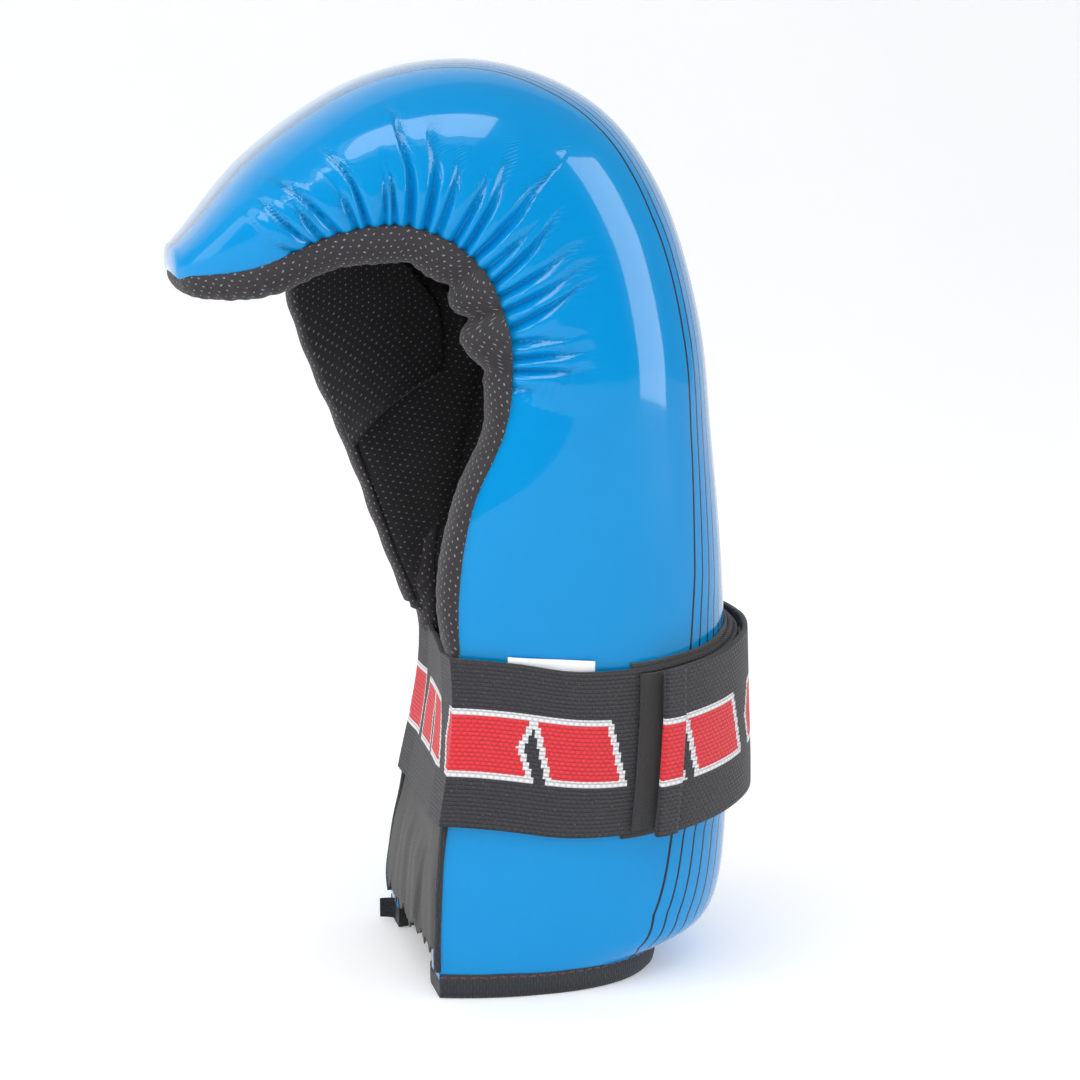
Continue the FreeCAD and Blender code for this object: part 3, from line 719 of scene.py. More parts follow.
# %% The padded shell's mesh
# shares of the way round the U: columns are close together beside the two edges
OUTER_COLUMNS = np.concatenate([np.linspace(0, 0.19, 58, endpoint=False),
                                np.linspace(0.19, 0.86, 78, endpoint=False),
                                np.linspace(0.86, 1.0, 26)])
END_COLUMNS, INNER_COLUMNS = 5, 30
SHELL_END = 12.2


def shell_rows():
    """Sections for the shell's rows: close together where the folds are."""
    return np.concatenate([np.linspace(0, 6.3, 84, endpoint=False),
                           np.linspace(6.3, 10.7, 250, endpoint=False),
                           np.linspace(10.7, SHELL_END, 42)])


def shell_row(s):
    """One closed loop of the shell at section s: outer face, far wall end, inner face, near wall end."""
    outer, length = resample(u_curve(s, 0, 0), OUTER_COLUMNS)
    along = OUTER_COLUMNS * length
    near, near_crinkle = fold_height(NEAR_FOLDS, s, along)
    far, far_crinkle = fold_height(FAR_FOLDS, s, length - along)
    tangent = np.gradient(outer, axis=0)
    normal = np.c_[-tangent[:, 1], tangent[:, 0]]
    normal /= np.linalg.norm(normal, axis=1)[:, None]
    normal *= np.sign(np.sum(normal * np.c_[outer[:, 0] - 20.0, outer[:, 1]], axis=1))[:, None]
    push = near + far
    moved = outer + normal * push[:, None]
    points = place(s, moved[:, 0], moved[:, 1])
    open_share = 1 - smooth(s, CAVITY_END - 0.15, CAVITY_END + 0.1)
    inner, _ = resample(u_curve(s, back_foam(s), side_foam(s)), np.linspace(0, 1, INNER_COLUMNS))
    line_q = np.interp(inner[:, 1], [inner[0, 1], inner[-1, 1]], [0.0, set_back(s)])
    inner[:, 0] = line_q + (inner[:, 0] - line_q) * open_share
    inner_points = place(s, inner[:, 0], inner[:, 1])[::-1]
    share = np.linspace(0, 1, END_COLUMNS + 2)[1:-1, None]
    far_end = points[-1] * (1 - share) + inner_points[0] * share
    near_end = inner_points[-1] * (1 - share) + points[0] * share
    loop = np.concatenate([points, far_end, inner_points, near_end])
    rest = len(loop) - len(along)
    u = np.concatenate([along - length / 2, np.linspace(length / 2, length / 2 + 260, rest)])
    crinkle = np.concatenate([np.maximum(near_crinkle, far_crinkle), np.zeros(rest)])
    line_y = np.interp(s, *LINE_PATH.T)
    widest, middle = int(np.argmin(outer[:, 1])), int(np.argmin(np.abs(outer[:, 1])))
    far_widest = int(np.argmax(outer[:, 1]))
    near_span = along[middle] - np.interp(-line_y, outer[widest:middle, 1], along[widest:middle])
    far_span = np.interp(line_y, outer[middle:far_widest, 1], along[middle:far_widest]) - along[middle]
    span = np.where(along < along[middle], near_span, far_span)
    share = np.concatenate([np.abs(along - along[middle]) / span, np.full(rest, 9.0)])
    return loop, u, {"crinkle": crinkle, "back_share": share,
                     "line_span": np.concatenate([span, np.full(rest, near_span)])}


def nose_rows(loop, count=5, reach=2.2):
    """Rounded end beyond the last section."""
    centre = loop.mean(0)
    forward = np.array([-0.98, 0.0, -0.2])
    rows = []
    for k in range(1, count + 1):
        a = math.pi / 2 * k / (count + 0.4)
        rows.append(centre + (loop - centre) * math.cos(a) + forward * reach * math.sin(a))
    return rows


def build_shell():
    rows, us, masks = [], [], []
    for s in shell_rows():
        loop, u, mask = shell_row(s)
        rows.append(loop)
        us.append(u)
        masks.append(mask)
    for row in nose_rows(rows[-1]):
        rows.append(row)
        us.append(us[-1])
        masks.append(masks[-1])
    points = np.array(rows)
    v = np.concatenate([np.zeros((1, points.shape[1])),
                        np.cumsum(np.linalg.norm(np.diff(points, axis=0), axis=2), axis=0)])
    uv = np.stack([np.array(us), v], -1)
    obj = grid_object("padded_shell", points, uv, wrap=True, caps=(0, -1))
    for name in masks[0]:
        layer = obj.data.attributes.new(name, "FLOAT", "POINT")
        layer.data.foreach_set("value", np.array([mask[name] for mask in masks], np.float32).ravel())
    return obj


shell = build_shell()
finish_piece(shell, "shell", "coated_skin", BLUE, "outer_skin", "near_side_foam", "back_foam_pad",
             "far_side_foam", "fingertip_foam")

# %% [markdown]
# The lining is the same U, a little smaller. It follows the foam's inner face, closes
# over the end of the finger space and runs on under the fingertips.

# %% Hand lining
def build_lining():
    rows, uv = [], []
    shares = np.linspace(0, 1, 80)
    sections = np.concatenate([np.linspace(0.02, 10.8, 150, endpoint=False), np.linspace(10.8, 12.05, 34)])
    for s in sections:
        open_share = 1 - smooth(s, CAVITY_END - 0.3, CAVITY_END)
        inner, length = resample(u_curve(s, back_foam(s) + 0.3, side_foam(s) + 0.3), shares)
        line_q = np.interp(inner[:, 1], [inner[0, 1], inner[-1, 1]], [-0.4, set_back(s) - 0.4])
        inner[:, 0] = line_q + (inner[:, 0] - line_q) * open_share
        rows.append(place(s, inner[:, 0], inner[:, 1]))
        uv.append(np.c_[shares * length - length / 2, np.zeros(len(shares))])
    points = np.array(rows)
    uv = np.array(uv)
    uv[1:, :, 1] = np.cumsum(np.linalg.norm(np.diff(points, axis=0), axis=2), axis=0)
    obj = grid_object("hand_lining_cloth", points, uv, flip=True)
    apply_modifier(obj, "SOLIDIFY", thickness=1.3 * MM, offset=1.0)
    return obj


lining = build_lining()
finish_piece(lining, "shell", "dotted_mesh", LINING_CLOTH, "hand_lining")

# %% [markdown]
# A soft roll of the mesh cloth pads the edge of the palm opening. It is one long tube
# sewn over the wall's end: down the little-finger side it is slim, at the hood it is
# thick, and in the crook between them the spare cloth bunches into lobes. The tube is
# swept along the wall's edge. At each point it needs three directions: along the edge,
# out of the opening, and across the wall's thickness.

# %% Sweep helpers
def smoothed(values, passes=6):
    """Moving average along an open row of points, ends kept."""
    out = np.array(values, float)
    for _ in range(passes):
        out[1:-1] = 0.25 * out[:-2] + 0.5 * out[1:-1] + 0.25 * out[2:]
    return out


def unit(v):
    return v / np.linalg.norm(v, axis=-1, keepdims=True)


def evenly(points, others, pitch):
    """Points of a line at an even pitch, with other values carried along."""
    at = np.concatenate([[0], np.cumsum(np.linalg.norm(np.diff(points, axis=0), axis=1))])
    count = int(at[-1] / pitch) + 1
    new = np.linspace(0, at[-1], count)

    def pick(values):
        values = np.asarray(values, float).reshape(len(at), -1)
        return np.stack([np.interp(new, at, values[:, k]) for k in range(values.shape[1])], 1)
    return pick(points), [pick(v) for v in others], new


def swept_tube(name, points, outward, ring_sizes, around=28, tuck=1.5):
    """Tube along points. outward leads out of the opening. ring_sizes gives, for each
    point, the distance to the tube's middle, its half thickness and its reach."""
    along = unit(smoothed(np.gradient(points, axis=0), 4))
    out = unit(outward - np.sum(outward * along, 1)[:, None] * along)
    inward = np.cross(out, along)
    angles = np.linspace(0, 2 * math.pi, around, endpoint=False)
    c, d = np.cos(angles), np.sin(angles)
    wide = np.sign(c) * np.abs(c) ** 0.9
    high = np.where(d > 0, np.abs(d) ** 0.85, 0)
    low = np.where(d < 0, np.abs(d), 0)
    middle, half, reach = (ring_sizes[:, k:k + 1] for k in range(3))
    w = middle + half * wide
    q = reach * high - tuck * low
    rings = points[:, None] + inward[:, None] * w[..., None] + out[:, None] * q[..., None]
    length = np.concatenate([[0], np.cumsum(np.linalg.norm(np.diff(points, axis=0), axis=1))])
    girth = np.cumsum(np.linalg.norm(rings - np.roll(rings, 1, axis=1), axis=2), axis=1)
    uv = np.stack([np.broadcast_to(length[:, None], girth.shape), girth], -1)
    return grid_object(name, rings, uv, wrap=True, caps=(0, -1))


# %% Edge roll
NEAR_ROLL_FROM, FAR_ROLL_FROM, TIP_S = 3.3, 6.3, 12.0


def edge_run(first, last, side, count):
    """Outer corner of one wall's end, its outward direction, wall thickness, reach and section."""
    rows = []
    for s in np.linspace(first, last, count):
        outer, inner, start = wall_end(s, side)
        across = frame_at(s)[1]
        rows.append((*place(s, start, side * outer), *-across, outer - inner, table_value(6, s), s))
    return np.array(rows)


def tip_run(near_last, far_first, bulge=3.0, count=24):
    """Joins the two walls round the fingertips with half an ellipse."""
    a = np.linspace(0, math.pi, count + 2)[1:-1, None]
    middle = (near_last[:3] + far_first[:3]) / 2
    half = (far_first[:3] - near_last[:3]) / 2
    points = middle - half * np.cos(a) + np.array([-bulge, 0, 0.3]) * np.sin(a)
    rest = near_last[3:] + (far_first[3:] - near_last[3:]) * (a / math.pi)
    return np.concatenate([points, rest], 1)


# bunches of spare cloth in the crook: place along the edge in mm from the knuckle, half length, rise
LOBES = [(-9.0, 8.5, 5.2), (6.0, 7.0, 3.4), (23.0, 9.0, 2.0), (-27.0, 8.0, 1.2), (44.0, 10.0, 1.2)]
CREASES = [(-0.8, 2.4, 3.0), (14.5, 2.6, 1.5), (-18.5, 2.2, 1.2), (33.0, 2.2, 0.7)]


def roll_path():
    near = edge_run(NEAR_ROLL_FROM, TIP_S, -1, 700)
    far = edge_run(TIP_S, FAR_ROLL_FROM, 1, 420)
    path = np.concatenate([near, tip_run(near[-1], far[0]), far])
    points, (rest,), at = evenly(path[:, :3], [path[:, 3:]], 1.0)
    crook = at[np.argmin(np.abs(rest[:len(rest) // 2, 5] - 7.45))]
    return smoothed(points, 12), rest, at - crook


def build_roll():
    points, rest, at = roll_path()
    out, thick, reach, s = rest[:, :3], rest[:, 3], rest[:, 4], rest[:, 5]
    far_side = np.arange(len(s)) > np.argmax(s) + 12
    reach = np.where(far_side, np.minimum(reach, 7.5), reach)
    reach = reach * smooth(at - at[0], -4.0, 14.0) * smooth(at[-1] - at, -5.0, 18.0)
    lump = np.zeros(len(at))
    for centre, half, rise in LOBES:
        lump += rise * np.exp(-((at - centre) / half) ** 2)
    dip = np.zeros(len(at))
    for centre, half, fall in CREASES:
        dip += fall * np.exp(-((at - centre) / half) ** 2)
    pucker = 0.13 * np.sin(at * 2 * math.pi / 4.7) + 0.10 * np.sin(at * 2 * math.pi / 7.9 + 1.0)
    slow = 0.35 * np.sin(at / 13.0) + 0.2 * np.sin(at / 7.3 + 2.0)
    reach = reach + lump - dip + (pucker + slow) * np.clip(reach / 7, 0, 1)
    thick = np.clip(thick, 7.0, None)
    half = thick / 2 + 0.7 + 0.18 * lump - 0.3 * dip + 0.5 * pucker
    middle = thick / 2 - 0.25 * lump
    sizes = np.stack([middle, half, np.clip(reach, 1.0, None)], 1)
    return swept_tube("palm_edge_roll", points, out, sizes), points, out


roll, roll_points, roll_out = build_roll()
finish_piece(roll, "shell", "dotted_mesh", ROLL_CLOTH,
             "near_edge_roll", "fingertip_edge_roll", "far_edge_roll")

# %% [markdown]
# The thumb side has one more short length of the same roll. It starts under the strap
# and ends where the thumb guard is sewn on, so it closes the edge between the two.


# %% Roll between the strap and the thumb guard
def build_far_wrist_roll():
    """The same roll on the thumb side, between the strap and the thumb guard's root."""
    run = edge_run(3.3, 4.55, 1, 90)
    points, (rest,), at = evenly(run[:, :3], [run[:, 3:]], 0.9)
    thick = rest[:, 3]
    reach = 4.0 + 5.0 * smooth(at, 2.0, 18.0) - 6.0 * smooth(at, 26.0, at[-1])
    wave = 0.3 * np.sin(at / 2.1)
    sizes = np.stack([-thick / 2, thick / 2 + 0.5 + 0.3 * wave, reach + wave], 1)
    return swept_tube("far_wrist_edge_roll", points, rest[:, :3], sizes)


far_wrist_roll = build_far_wrist_roll()
finish_piece(far_wrist_roll, "shell", "dotted_mesh", ROLL_CLOTH)

# %% [markdown]
# Below the strap the wall's edge has a flat ribbon sewn round it. It is the same sweep
# with a small reach. The seams get real stitches, since their thread catches the light:
# each stitch is a short rod with round ends, turned a little to one side and the next
# to the other.

# %% Cuff bindings
def build_binding(name, side):
    run = edge_run(0.22, 3.55, side, 220)
    points, (rest,), at = evenly(run[:, :3], [run[:, 3:]], 0.8)
    count = len(points)
    wave = 0.12 * np.sin(at / 3.1)
    sizes = np.stack([np.full(count, 1.0), 1.7 + wave, 1.5 + wave], 1)
    if side > 0:
        sizes[:, 0] *= -1
    return swept_tube(name, points, rest[:, :3], sizes, around=16, tuck=0.6), points, rest[:, :3]


near_binding, near_points, near_out = build_binding("near_cuff_binding", -1)
finish_piece(near_binding, "shell", "ribbed_ribbon", RIBBON_CLOTH, "near_edge_binding")
far_binding, _, _ = build_binding("far_cuff_binding", 1)
finish_piece(far_binding, "shell", "ribbed_ribbon", RIBBON_CLOTH, "far_edge_binding")


# %% Stitch helper
def stitch_rows(name, points, aside, length, pitch, radius, lean, material, body="shell"):
    """Row of stitches on points; aside is the direction that they lean to by turns."""
    at = np.concatenate([[0], np.cumsum(np.linalg.norm(np.diff(points, axis=0), axis=1))])
    verts, faces = [], []
    sides, shares = 6, np.array([0.0, 0.12, 0.5, 0.88, 1.0])
    sizes = np.array([0.35, 0.9, 1.0, 0.9, 0.35])
    for k, start in enumerate(np.arange(0, at[-1] - length, pitch)):
        a = np.array([np.interp(start, at, points[:, i]) for i in range(3)])
        b = np.array([np.interp(start + length, at, points[:, i]) for i in range(3)])
        side = np.array([np.interp(start, at, aside[:, i]) for i in range(3)])
        turn = lean if k % 2 else -lean
        a, b = a - side * turn, b + side * turn
        run = unit(b - a)
        right = unit(np.cross(run, side))
        up = np.cross(right, run)
        base = len(verts)
        for share, size in zip(shares, sizes):
            for j in range(sides):
                angle = 2 * math.pi * j / sides
                offset = (right * math.cos(angle) + up * math.sin(angle)) * radius * size
                verts.append(a + (b - a) * share + offset)
        faces += (grid_faces(len(shares), sides, True)[:, ::-1] + base).tolist()
        faces.append([base + j for j in range(sides)])
        faces.append([base + (len(shares) - 1) * sides + j for j in range(sides)][::-1])
    obj = new_object(name, verts, faces)
    return finish_piece(obj, body, "ribbed_ribbon", material)


# %% Seam stitches
def seam_line(points, outward, inward_shift, out_shift):
    """Line beside a wall's edge on its outer face."""
    along = unit(np.gradient(points, axis=0))
    return points + np.cross(along, outward) * inward_shift - outward * out_shift


seam = seam_line(roll_points, roll_out, -0.75, 0.7)
stitch_rows("roll_seam_stitches", seam, roll_out, 2.3, 3.1, 0.34, 0.42, RED_THREAD)
seam = seam_line(near_points, near_out, -0.85, -0.1)
stitch_rows("near_binding_stitches", seam, near_out, 2.0, 2.9, 0.3, 0.2, RED_THREAD)

# %% [markdown]
# The wrist strap lies on the shell's own outline, so its shape is found from the same
# sections. Around the wrist it is measured by u: 0 is the middle of the back, -1 and 1
# are the two palm corners, and from 1 to 3 it crosses the palm.

# %% Wrist surface
WRIST_S = np.linspace(1.2, 5.2, 90)
CORNER_TURN = 0.05


def palm_line(s):
    """Depths and widths of the line that closes the palm side, far corner to near corner."""
    far_outer, far_inner, far_q = wall_end(s, 1)
    near_outer, near_inner, _ = wall_end(s, -1)
    return (np.array([far_q, far_q, 0.0, 0.0]),
            np.array([far_outer, far_inner - 1.0, -near_inner + 1.0, -near_outer]))


def wrist_base(s, us):
    """(q, y) points and normals at places us of section s."""
    _, _, depth, width = frame_at(s)
    cut = set_back(s)
    halves = {}
    for side, start in ((-1, 0.0), (1, cut)):
        q, y = half_curve(depth, width, start)
        curve = np.c_[q, side * y]
        slope = np.gradient(curve, axis=0)
        normal = unit(np.c_[side * slope[:, 1], -side * slope[:, 0]])
        normal *= np.sign(normal[:, 1:] * side + 1e-9)
        normal[-1] = (1, 0)
        at = np.concatenate([[0], np.cumsum(np.linalg.norm(np.diff(curve, axis=0), axis=1))])
        halves[side] = (curve, normal, at)
    pq, py = palm_line(s)
    points, normals = [], []
    for u in us:
        if abs(u) <= 1:
            curve, normal, at = halves[1 if u > 0 else -1]
            d = at[-1] * (1 - abs(u))
            p = [np.interp(d, at, curve[:, k]) for k in (0, 1)]
            n = [np.interp(d, at, normal[:, k]) for k in (0, 1)]
            turn = smooth(1 - abs(u), CORNER_TURN, 0.0) * math.pi / 4
            side = 1 if u > 0 else -1
        else:
            t = (u - 1) / 2
            y = py[0] + (py[-1] - py[0]) * t
            p = [np.interp(-y, -py, pq), y]
            n = [-1.0, 0.0]
            near_end = min(t, 1 - t)
            turn = -smooth(near_end, CORNER_TURN, 0.0) * math.pi / 4
            side = 1 if t < 0.5 else -1
        c, d = math.cos(turn), math.sin(turn)
        n = unit(np.array(n))
        n = np.array([n[0] * c - d * side * n[1], n[1] * c + side * d * n[0]])
        points.append(p)
        normals.append(n / max(abs(c), 0.7))
    return np.array(points), np.array(normals)


def wrist_grid(us, lifts):
    """Points at places us, at every section of WRIST_S, each lifted off the skin."""
    grid = []
    for s in WRIST_S:
        p, n = wrist_base(s, us)
        p = p + n * np.asarray(lifts)[:, None]
        grid.append(place(s, p[:, 0], p[:, 1]))
    return np.array(grid)


def at_height(grid, z):
    """Points of the grid at heights z, one per place."""
    out = []
    for k in range(grid.shape[1]):
        column = grid[:, k]
        out.append([np.interp(z[k], column[:, 2], column[:, i]) for i in range(3)])
    return np.array(out)


STRAP_LEVELS = np.array([(-1.0, 80.5), (-0.62, 75.5), (0.0, 83.0), (0.62, 75.5), (1.0, 74.0), (3.0, 80.5)])


def strap_level(us):
    level = []
    for u in us:
        k = int(np.clip(np.searchsorted(STRAP_LEVELS[:, 0], u) - 1, 0, len(STRAP_LEVELS) - 2))
        (u0, z0), (u1, z1) = STRAP_LEVELS[k:k + 2]
        level.append(z0 + (z1 - z0) * float(smooth(u, u0, u1)))
    return np.array(level)


# %% [markdown]
# Each strip of webbing is one closed tube with a flat section. Its two long edges carry
# a small regular wobble, because the overlock thread pulls the edge in at each stitch.

# %% Webbing strips
ACROSS_ROWS = 15


def webbing(name, us, lifts, width, thick, wobble=0.3, start=0.0, wave=0.5):
    """A strip through places us. Its UV runs on from start along the strip. Returns its length too."""
    us, lifts = np.asarray(us), np.asarray(lifts)
    level = strap_level(us)
    layers = []
    for lift in (lifts + thick, lifts):
        grid = wrist_grid(us, lift)
        layers.append((grid, at_height(grid, level)))
    middle = layers[0][1]
    middle = smoothed(middle, 6)
    length = start + np.concatenate([[0], np.cumsum(np.linalg.norm(np.diff(middle, axis=0), axis=1))])
    edge = 0.5 + 0.5 * np.sin(length * 2 * math.pi / 2.4)
    edge = wobble * edge + wave * 0.5 * np.sin(length / 9.0) + wave * 0.35 * np.sin(length / 4.3 + 1.0)
    shares = np.sin(np.linspace(-math.pi / 2, math.pi / 2, ACROSS_ROWS))
    faces = []
    for grid, _ in layers:
        rows = []
        for share in shares:
            reach = (width / 2 + edge) if share > 0 else (width / 2 - 0.6 * edge + wobble)
            rows.append(at_height(grid, level + share * reach))
        faces.append(np.array(rows))
    outer, inner = faces
    outer = np.array([smoothed(row, 3) for row in outer])
    inner = np.array([smoothed(row, 3) for row in inner])
    loop = np.concatenate([outer, inner[::-1]]).transpose(1, 0, 2)
    across = np.concatenate([shares * width / 2, shares[::-1] * width / 2])
    uv = np.stack(np.broadcast_arrays(length[:, None], across[None, :]), -1)
    obj = grid_object(name, loop, uv, wrap=True, caps=(0, -1))
    return obj, length[-1], middle


def places(first, last, pitch=0.0062):
    return np.linspace(first, last, max(4, int(abs(last - first) / pitch)))


# %% The strap
BAND_LIFT, ELASTIC, TAPE, LAYER_GAP = 1.1, 1.6, 1.3, 0.15
LOOP_LIFT = BAND_LIFT + ELASTIC + LAYER_GAP
HOOK_LIFT = LOOP_LIFT + TAPE + LAYER_GAP
TAIL_LIFT = HOOK_LIFT + TAPE + LAYER_GAP
STRAP_WIDTH, TAPE_WIDTH = 50.0, 47.5
TAIL_JOIN, TIP_JOIN, TAIL_END = 0.50, -0.03, -0.53


def strap_route():
    """Places and lifts of the elastic from its sewn end, all the way round to the tail's end."""
    back = places(0.42, -1.0)
    palm = np.linspace(3.0, 1.0, 170)[1:-1]
    over = places(1.0, TAIL_JOIN)
    us = np.concatenate([back, palm, over])
    lifts = np.full(len(us), BAND_LIFT)
    climb = smooth(0.80 - over, 0.0, 0.30)
    lifts[-len(over):] += (TAIL_LIFT - BAND_LIFT) * climb
    return us, lifts


us, lifts = strap_route()
band, length, _ = webbing("wrist_strap", us, lifts, STRAP_WIDTH, ELASTIC)
finish_piece(band, "shell", "strap_elastic", STRAP_CLOTH, "strap_band")
us = places(TAIL_JOIN, TIP_JOIN)
tail, length, tail_line = webbing("strap_tail", us, np.full(len(us), TAIL_LIFT), STRAP_WIDTH, ELASTIC,
                                  start=length)
finish_piece(tail, None, "strap_elastic", STRAP_CLOTH, "strap_tail_base")
us = places(TIP_JOIN, TAIL_END)
lifts = TAIL_LIFT + 0.6 * smooth(us, -0.35, TAIL_END)
tip, length, tip_line = webbing("strap_tail_end", us, lifts, STRAP_WIDTH, ELASTIC, start=length)
finish_piece(tip, None, "strap_elastic", STRAP_CLOTH, "strap_tail_tip")
us = places(TAIL_END + 0.045, TAIL_END - 0.004)
hem, _, _ = webbing("strap_end_hem", us, np.full(len(us), TAIL_LIFT + ELASTIC + 0.55), STRAP_WIDTH, 1.3,
                    start=length, wobble=0.5)
finish_piece(hem, "strap_tail_end", "strap_elastic", STRAP_CLOTH, "strap_end_fold")
us = places(0.40, -0.575)
loops, _, _ = webbing("loop_tape", us, np.full(len(us), LOOP_LIFT), TAPE_WIDTH, TAPE, wave=0.2)
finish_piece(loops, "shell", "loop_tape", LOOP_PILE, "strap_loop_tape")
us = places(-0.125, -0.475)
hooks, _, _ = webbing("hook_tape", us, np.full(len(us), HOOK_LIFT), TAPE_WIDTH - 2, TAPE,
                      wobble=0.0, wave=0.0)
finish_piece(hooks, "strap_tail_end", "hook_tape", HOOKS, "strap_hook_tape")
us = places(0.425, -0.59)
patch, _, _ = webbing("strap_anchor_cloth", us, np.full(len(us), 0.2), 53.5, 0.7, wobble=0.2)
finish_piece(patch, "shell", "stretch_cloth", STRETCH_CLOTH, "strap_anchor_patch")


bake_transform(tail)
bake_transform(tip)
print("elastic length in mm:", round(length, 1))

# %% [markdown]
# A blank white satin label lies under the strap's upper edge. Its own rows follow the
# shell's surface, and its free corner curls a little, so its edge catches the light.

# %% Label
LABEL_X, LABEL_LOW, LABEL_TOP = (4.0, 30.0), 88.0, (106.3, 104.2)


def build_label():
    us = np.linspace(-0.99, -0.3, 90)
    grid = wrist_grid(us, np.full(len(us), 0.25))
    rows = []
    for share in np.linspace(0, 1, 14):
        row = []
        for k, x in enumerate(np.linspace(*LABEL_X, 34)):
            top = LABEL_TOP[0] + (LABEL_TOP[1] - LABEL_TOP[0]) * k / 33
            z = LABEL_LOW + (top - LABEL_LOW) * share
            line = at_height(grid, np.full(len(us), z))
            p = np.array([np.interp(x, line[:, 0], line[:, i]) for i in range(3)])
            curl = 0.5 * share**4 * (1 + 0.6 * math.sin(k / 4.0))
            p[1] -= 0.1 + curl
            row.append(p)
        rows.append(row)
    points = np.array(rows)
    cols, rws = np.meshgrid(np.linspace(0, 26, 34), np.linspace(0, 18, 14))
    obj = grid_object("blank_label_cloth", points, np.stack([cols, rws], -1))
    apply_modifier(obj, "SOLIDIFY", thickness=0.25 * MM, offset=1.0)
    return obj


label = build_label()
finish_piece(label, "shell", "label_satin", LABEL_SATIN, "blank_label")

# %% [markdown]
# The cuff's rim is bound with ribbed ribbon. It wraps the padding's cut edge from the
# outside, under it and up inside. Its section is a closed loop that follows the U of
# the lowest section.

# %% Hem ribbon
def build_hem():
    shares = np.linspace(0, 1, 420)
    outer, length = resample(u_curve(0, 0, 0), shares)
    inner, _ = resample(u_curve(0, back_foam(0) + LINING, side_foam(0) + LINING), shares)
    across = frame_at(0)[1]
    level = unit(np.array([across[0], across[2]]))
    a = np.c_[outer[:, 0] * level[0] + SECTIONS[0, 0], outer[:, 1]]
    b = np.c_[inner[:, 0] * level[0] + SECTIONS[0, 0], inner[:, 1]]
    out = unit(a - b)
    at = shares * length
    wave = 0.35 * np.sin(at / 7.0) + 0.25 * np.sin(at / 3.1 + 1.0)
    # offset off the padding, share of the way inside, and height
    profile = [(0.35, 0, 7.6), (1.15, 0, 7.1), (1.5, 0, 5.2), (1.35, 0, 2.6), (0.9, 0, 0.8), (0.1, 0, 0.05),
               (-1.5, 0, 0.0), (1.5, 1, 0.0), (-0.1, 1, 0.05), (-0.9, 1, 0.8), (-1.2, 1, 3.0), (-1.0, 1, 6.5),
               (-0.2, 1, 7.0), (0.6, 1, 6.0), (-0.8, 0, 6.0)]
    rings = []
    for offset, inside, z in profile:
        base = b if inside else a
        ripple = wave * (0.35 if 0.5 < z < 7 else 0.12)
        x_y = base + out * (offset + ripple[:, None] * (-1 if inside else 1))
        lift = z + (0.35 * wave if z > 6.9 else 0)
        rings.append(np.c_[x_y[:, 0], x_y[:, 1], np.broadcast_to(lift, len(at))])
    points = np.array(rings).transpose(1, 0, 2)
    drop = np.cumsum(np.linalg.norm(points - np.roll(points, 1, axis=1), axis=2), axis=1)
    uv = np.stack([drop, np.broadcast_to(at[:, None], drop.shape)], -1)
    obj = grid_object("hem_ribbon", points, uv, wrap=True, caps=(0, -1))
    return obj, np.c_[a + out * 1.25, np.full(len(a), 6.6) + 0.35 * wave]


hem_piece, hem_line = build_hem()
finish_piece(hem_piece, "shell", "ribbed_ribbon", RIBBON_CLOTH, "hem_binding")
upward = np.tile(np.array([0.0, 0.0, 1.0]), (len(hem_line), 1))
stitch_rows("hem_stitches", hem_line, upward, 2.2, 3.0, 0.28, 0.12, RED_THREAD)


# %% Ribbon tab at the hem's end
def build_tab():
    low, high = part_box("hem_tab")
    low, high = np.array(low) / MM, np.array(high) / MM
    rows = []
    for t in np.linspace(0, 1, 16):
        x = high[0] + 1.0 + (low[0] - high[0] - 1.0) * t
        y = (low[1] + high[1]) / 2 + 0.5 * math.sin(3.2 * t)
        half = (high[2] - low[2]) / 2 * (1 - 0.08 * t)
        z = (low[2] + high[2]) / 2 + 0.7 * t
        ring = []
        for k in range(20):
            a = 2 * math.pi * k / 20
            tall = np.sign(math.cos(a)) * abs(math.cos(a)) ** 0.35
            ring.append((x, y + 0.62 * math.sin(a), z + half * tall))
        rows.append(ring)
    points = np.array(rows)
    uv = np.stack([points[..., 0], points[..., 2]], -1)
    return grid_object("hem_ribbon_tab", points, uv, wrap=True, caps=(0, -1), flip=True)


finish_piece(build_tab(), "shell", "ribbed_ribbon", RIBBON_CLOTH, "hem_tab")

# %% [markdown]
# A panel of fine knit closes the palm side of the wrist under the strap, so that the
# cuff can stretch. It is a little slack: it has soft upright folds, and one slanting
# step where two layers overlap.

# %% Wrist gusset
GUSSET_S, GUSSET_SLACK = (0.66, 3.3), 1.6


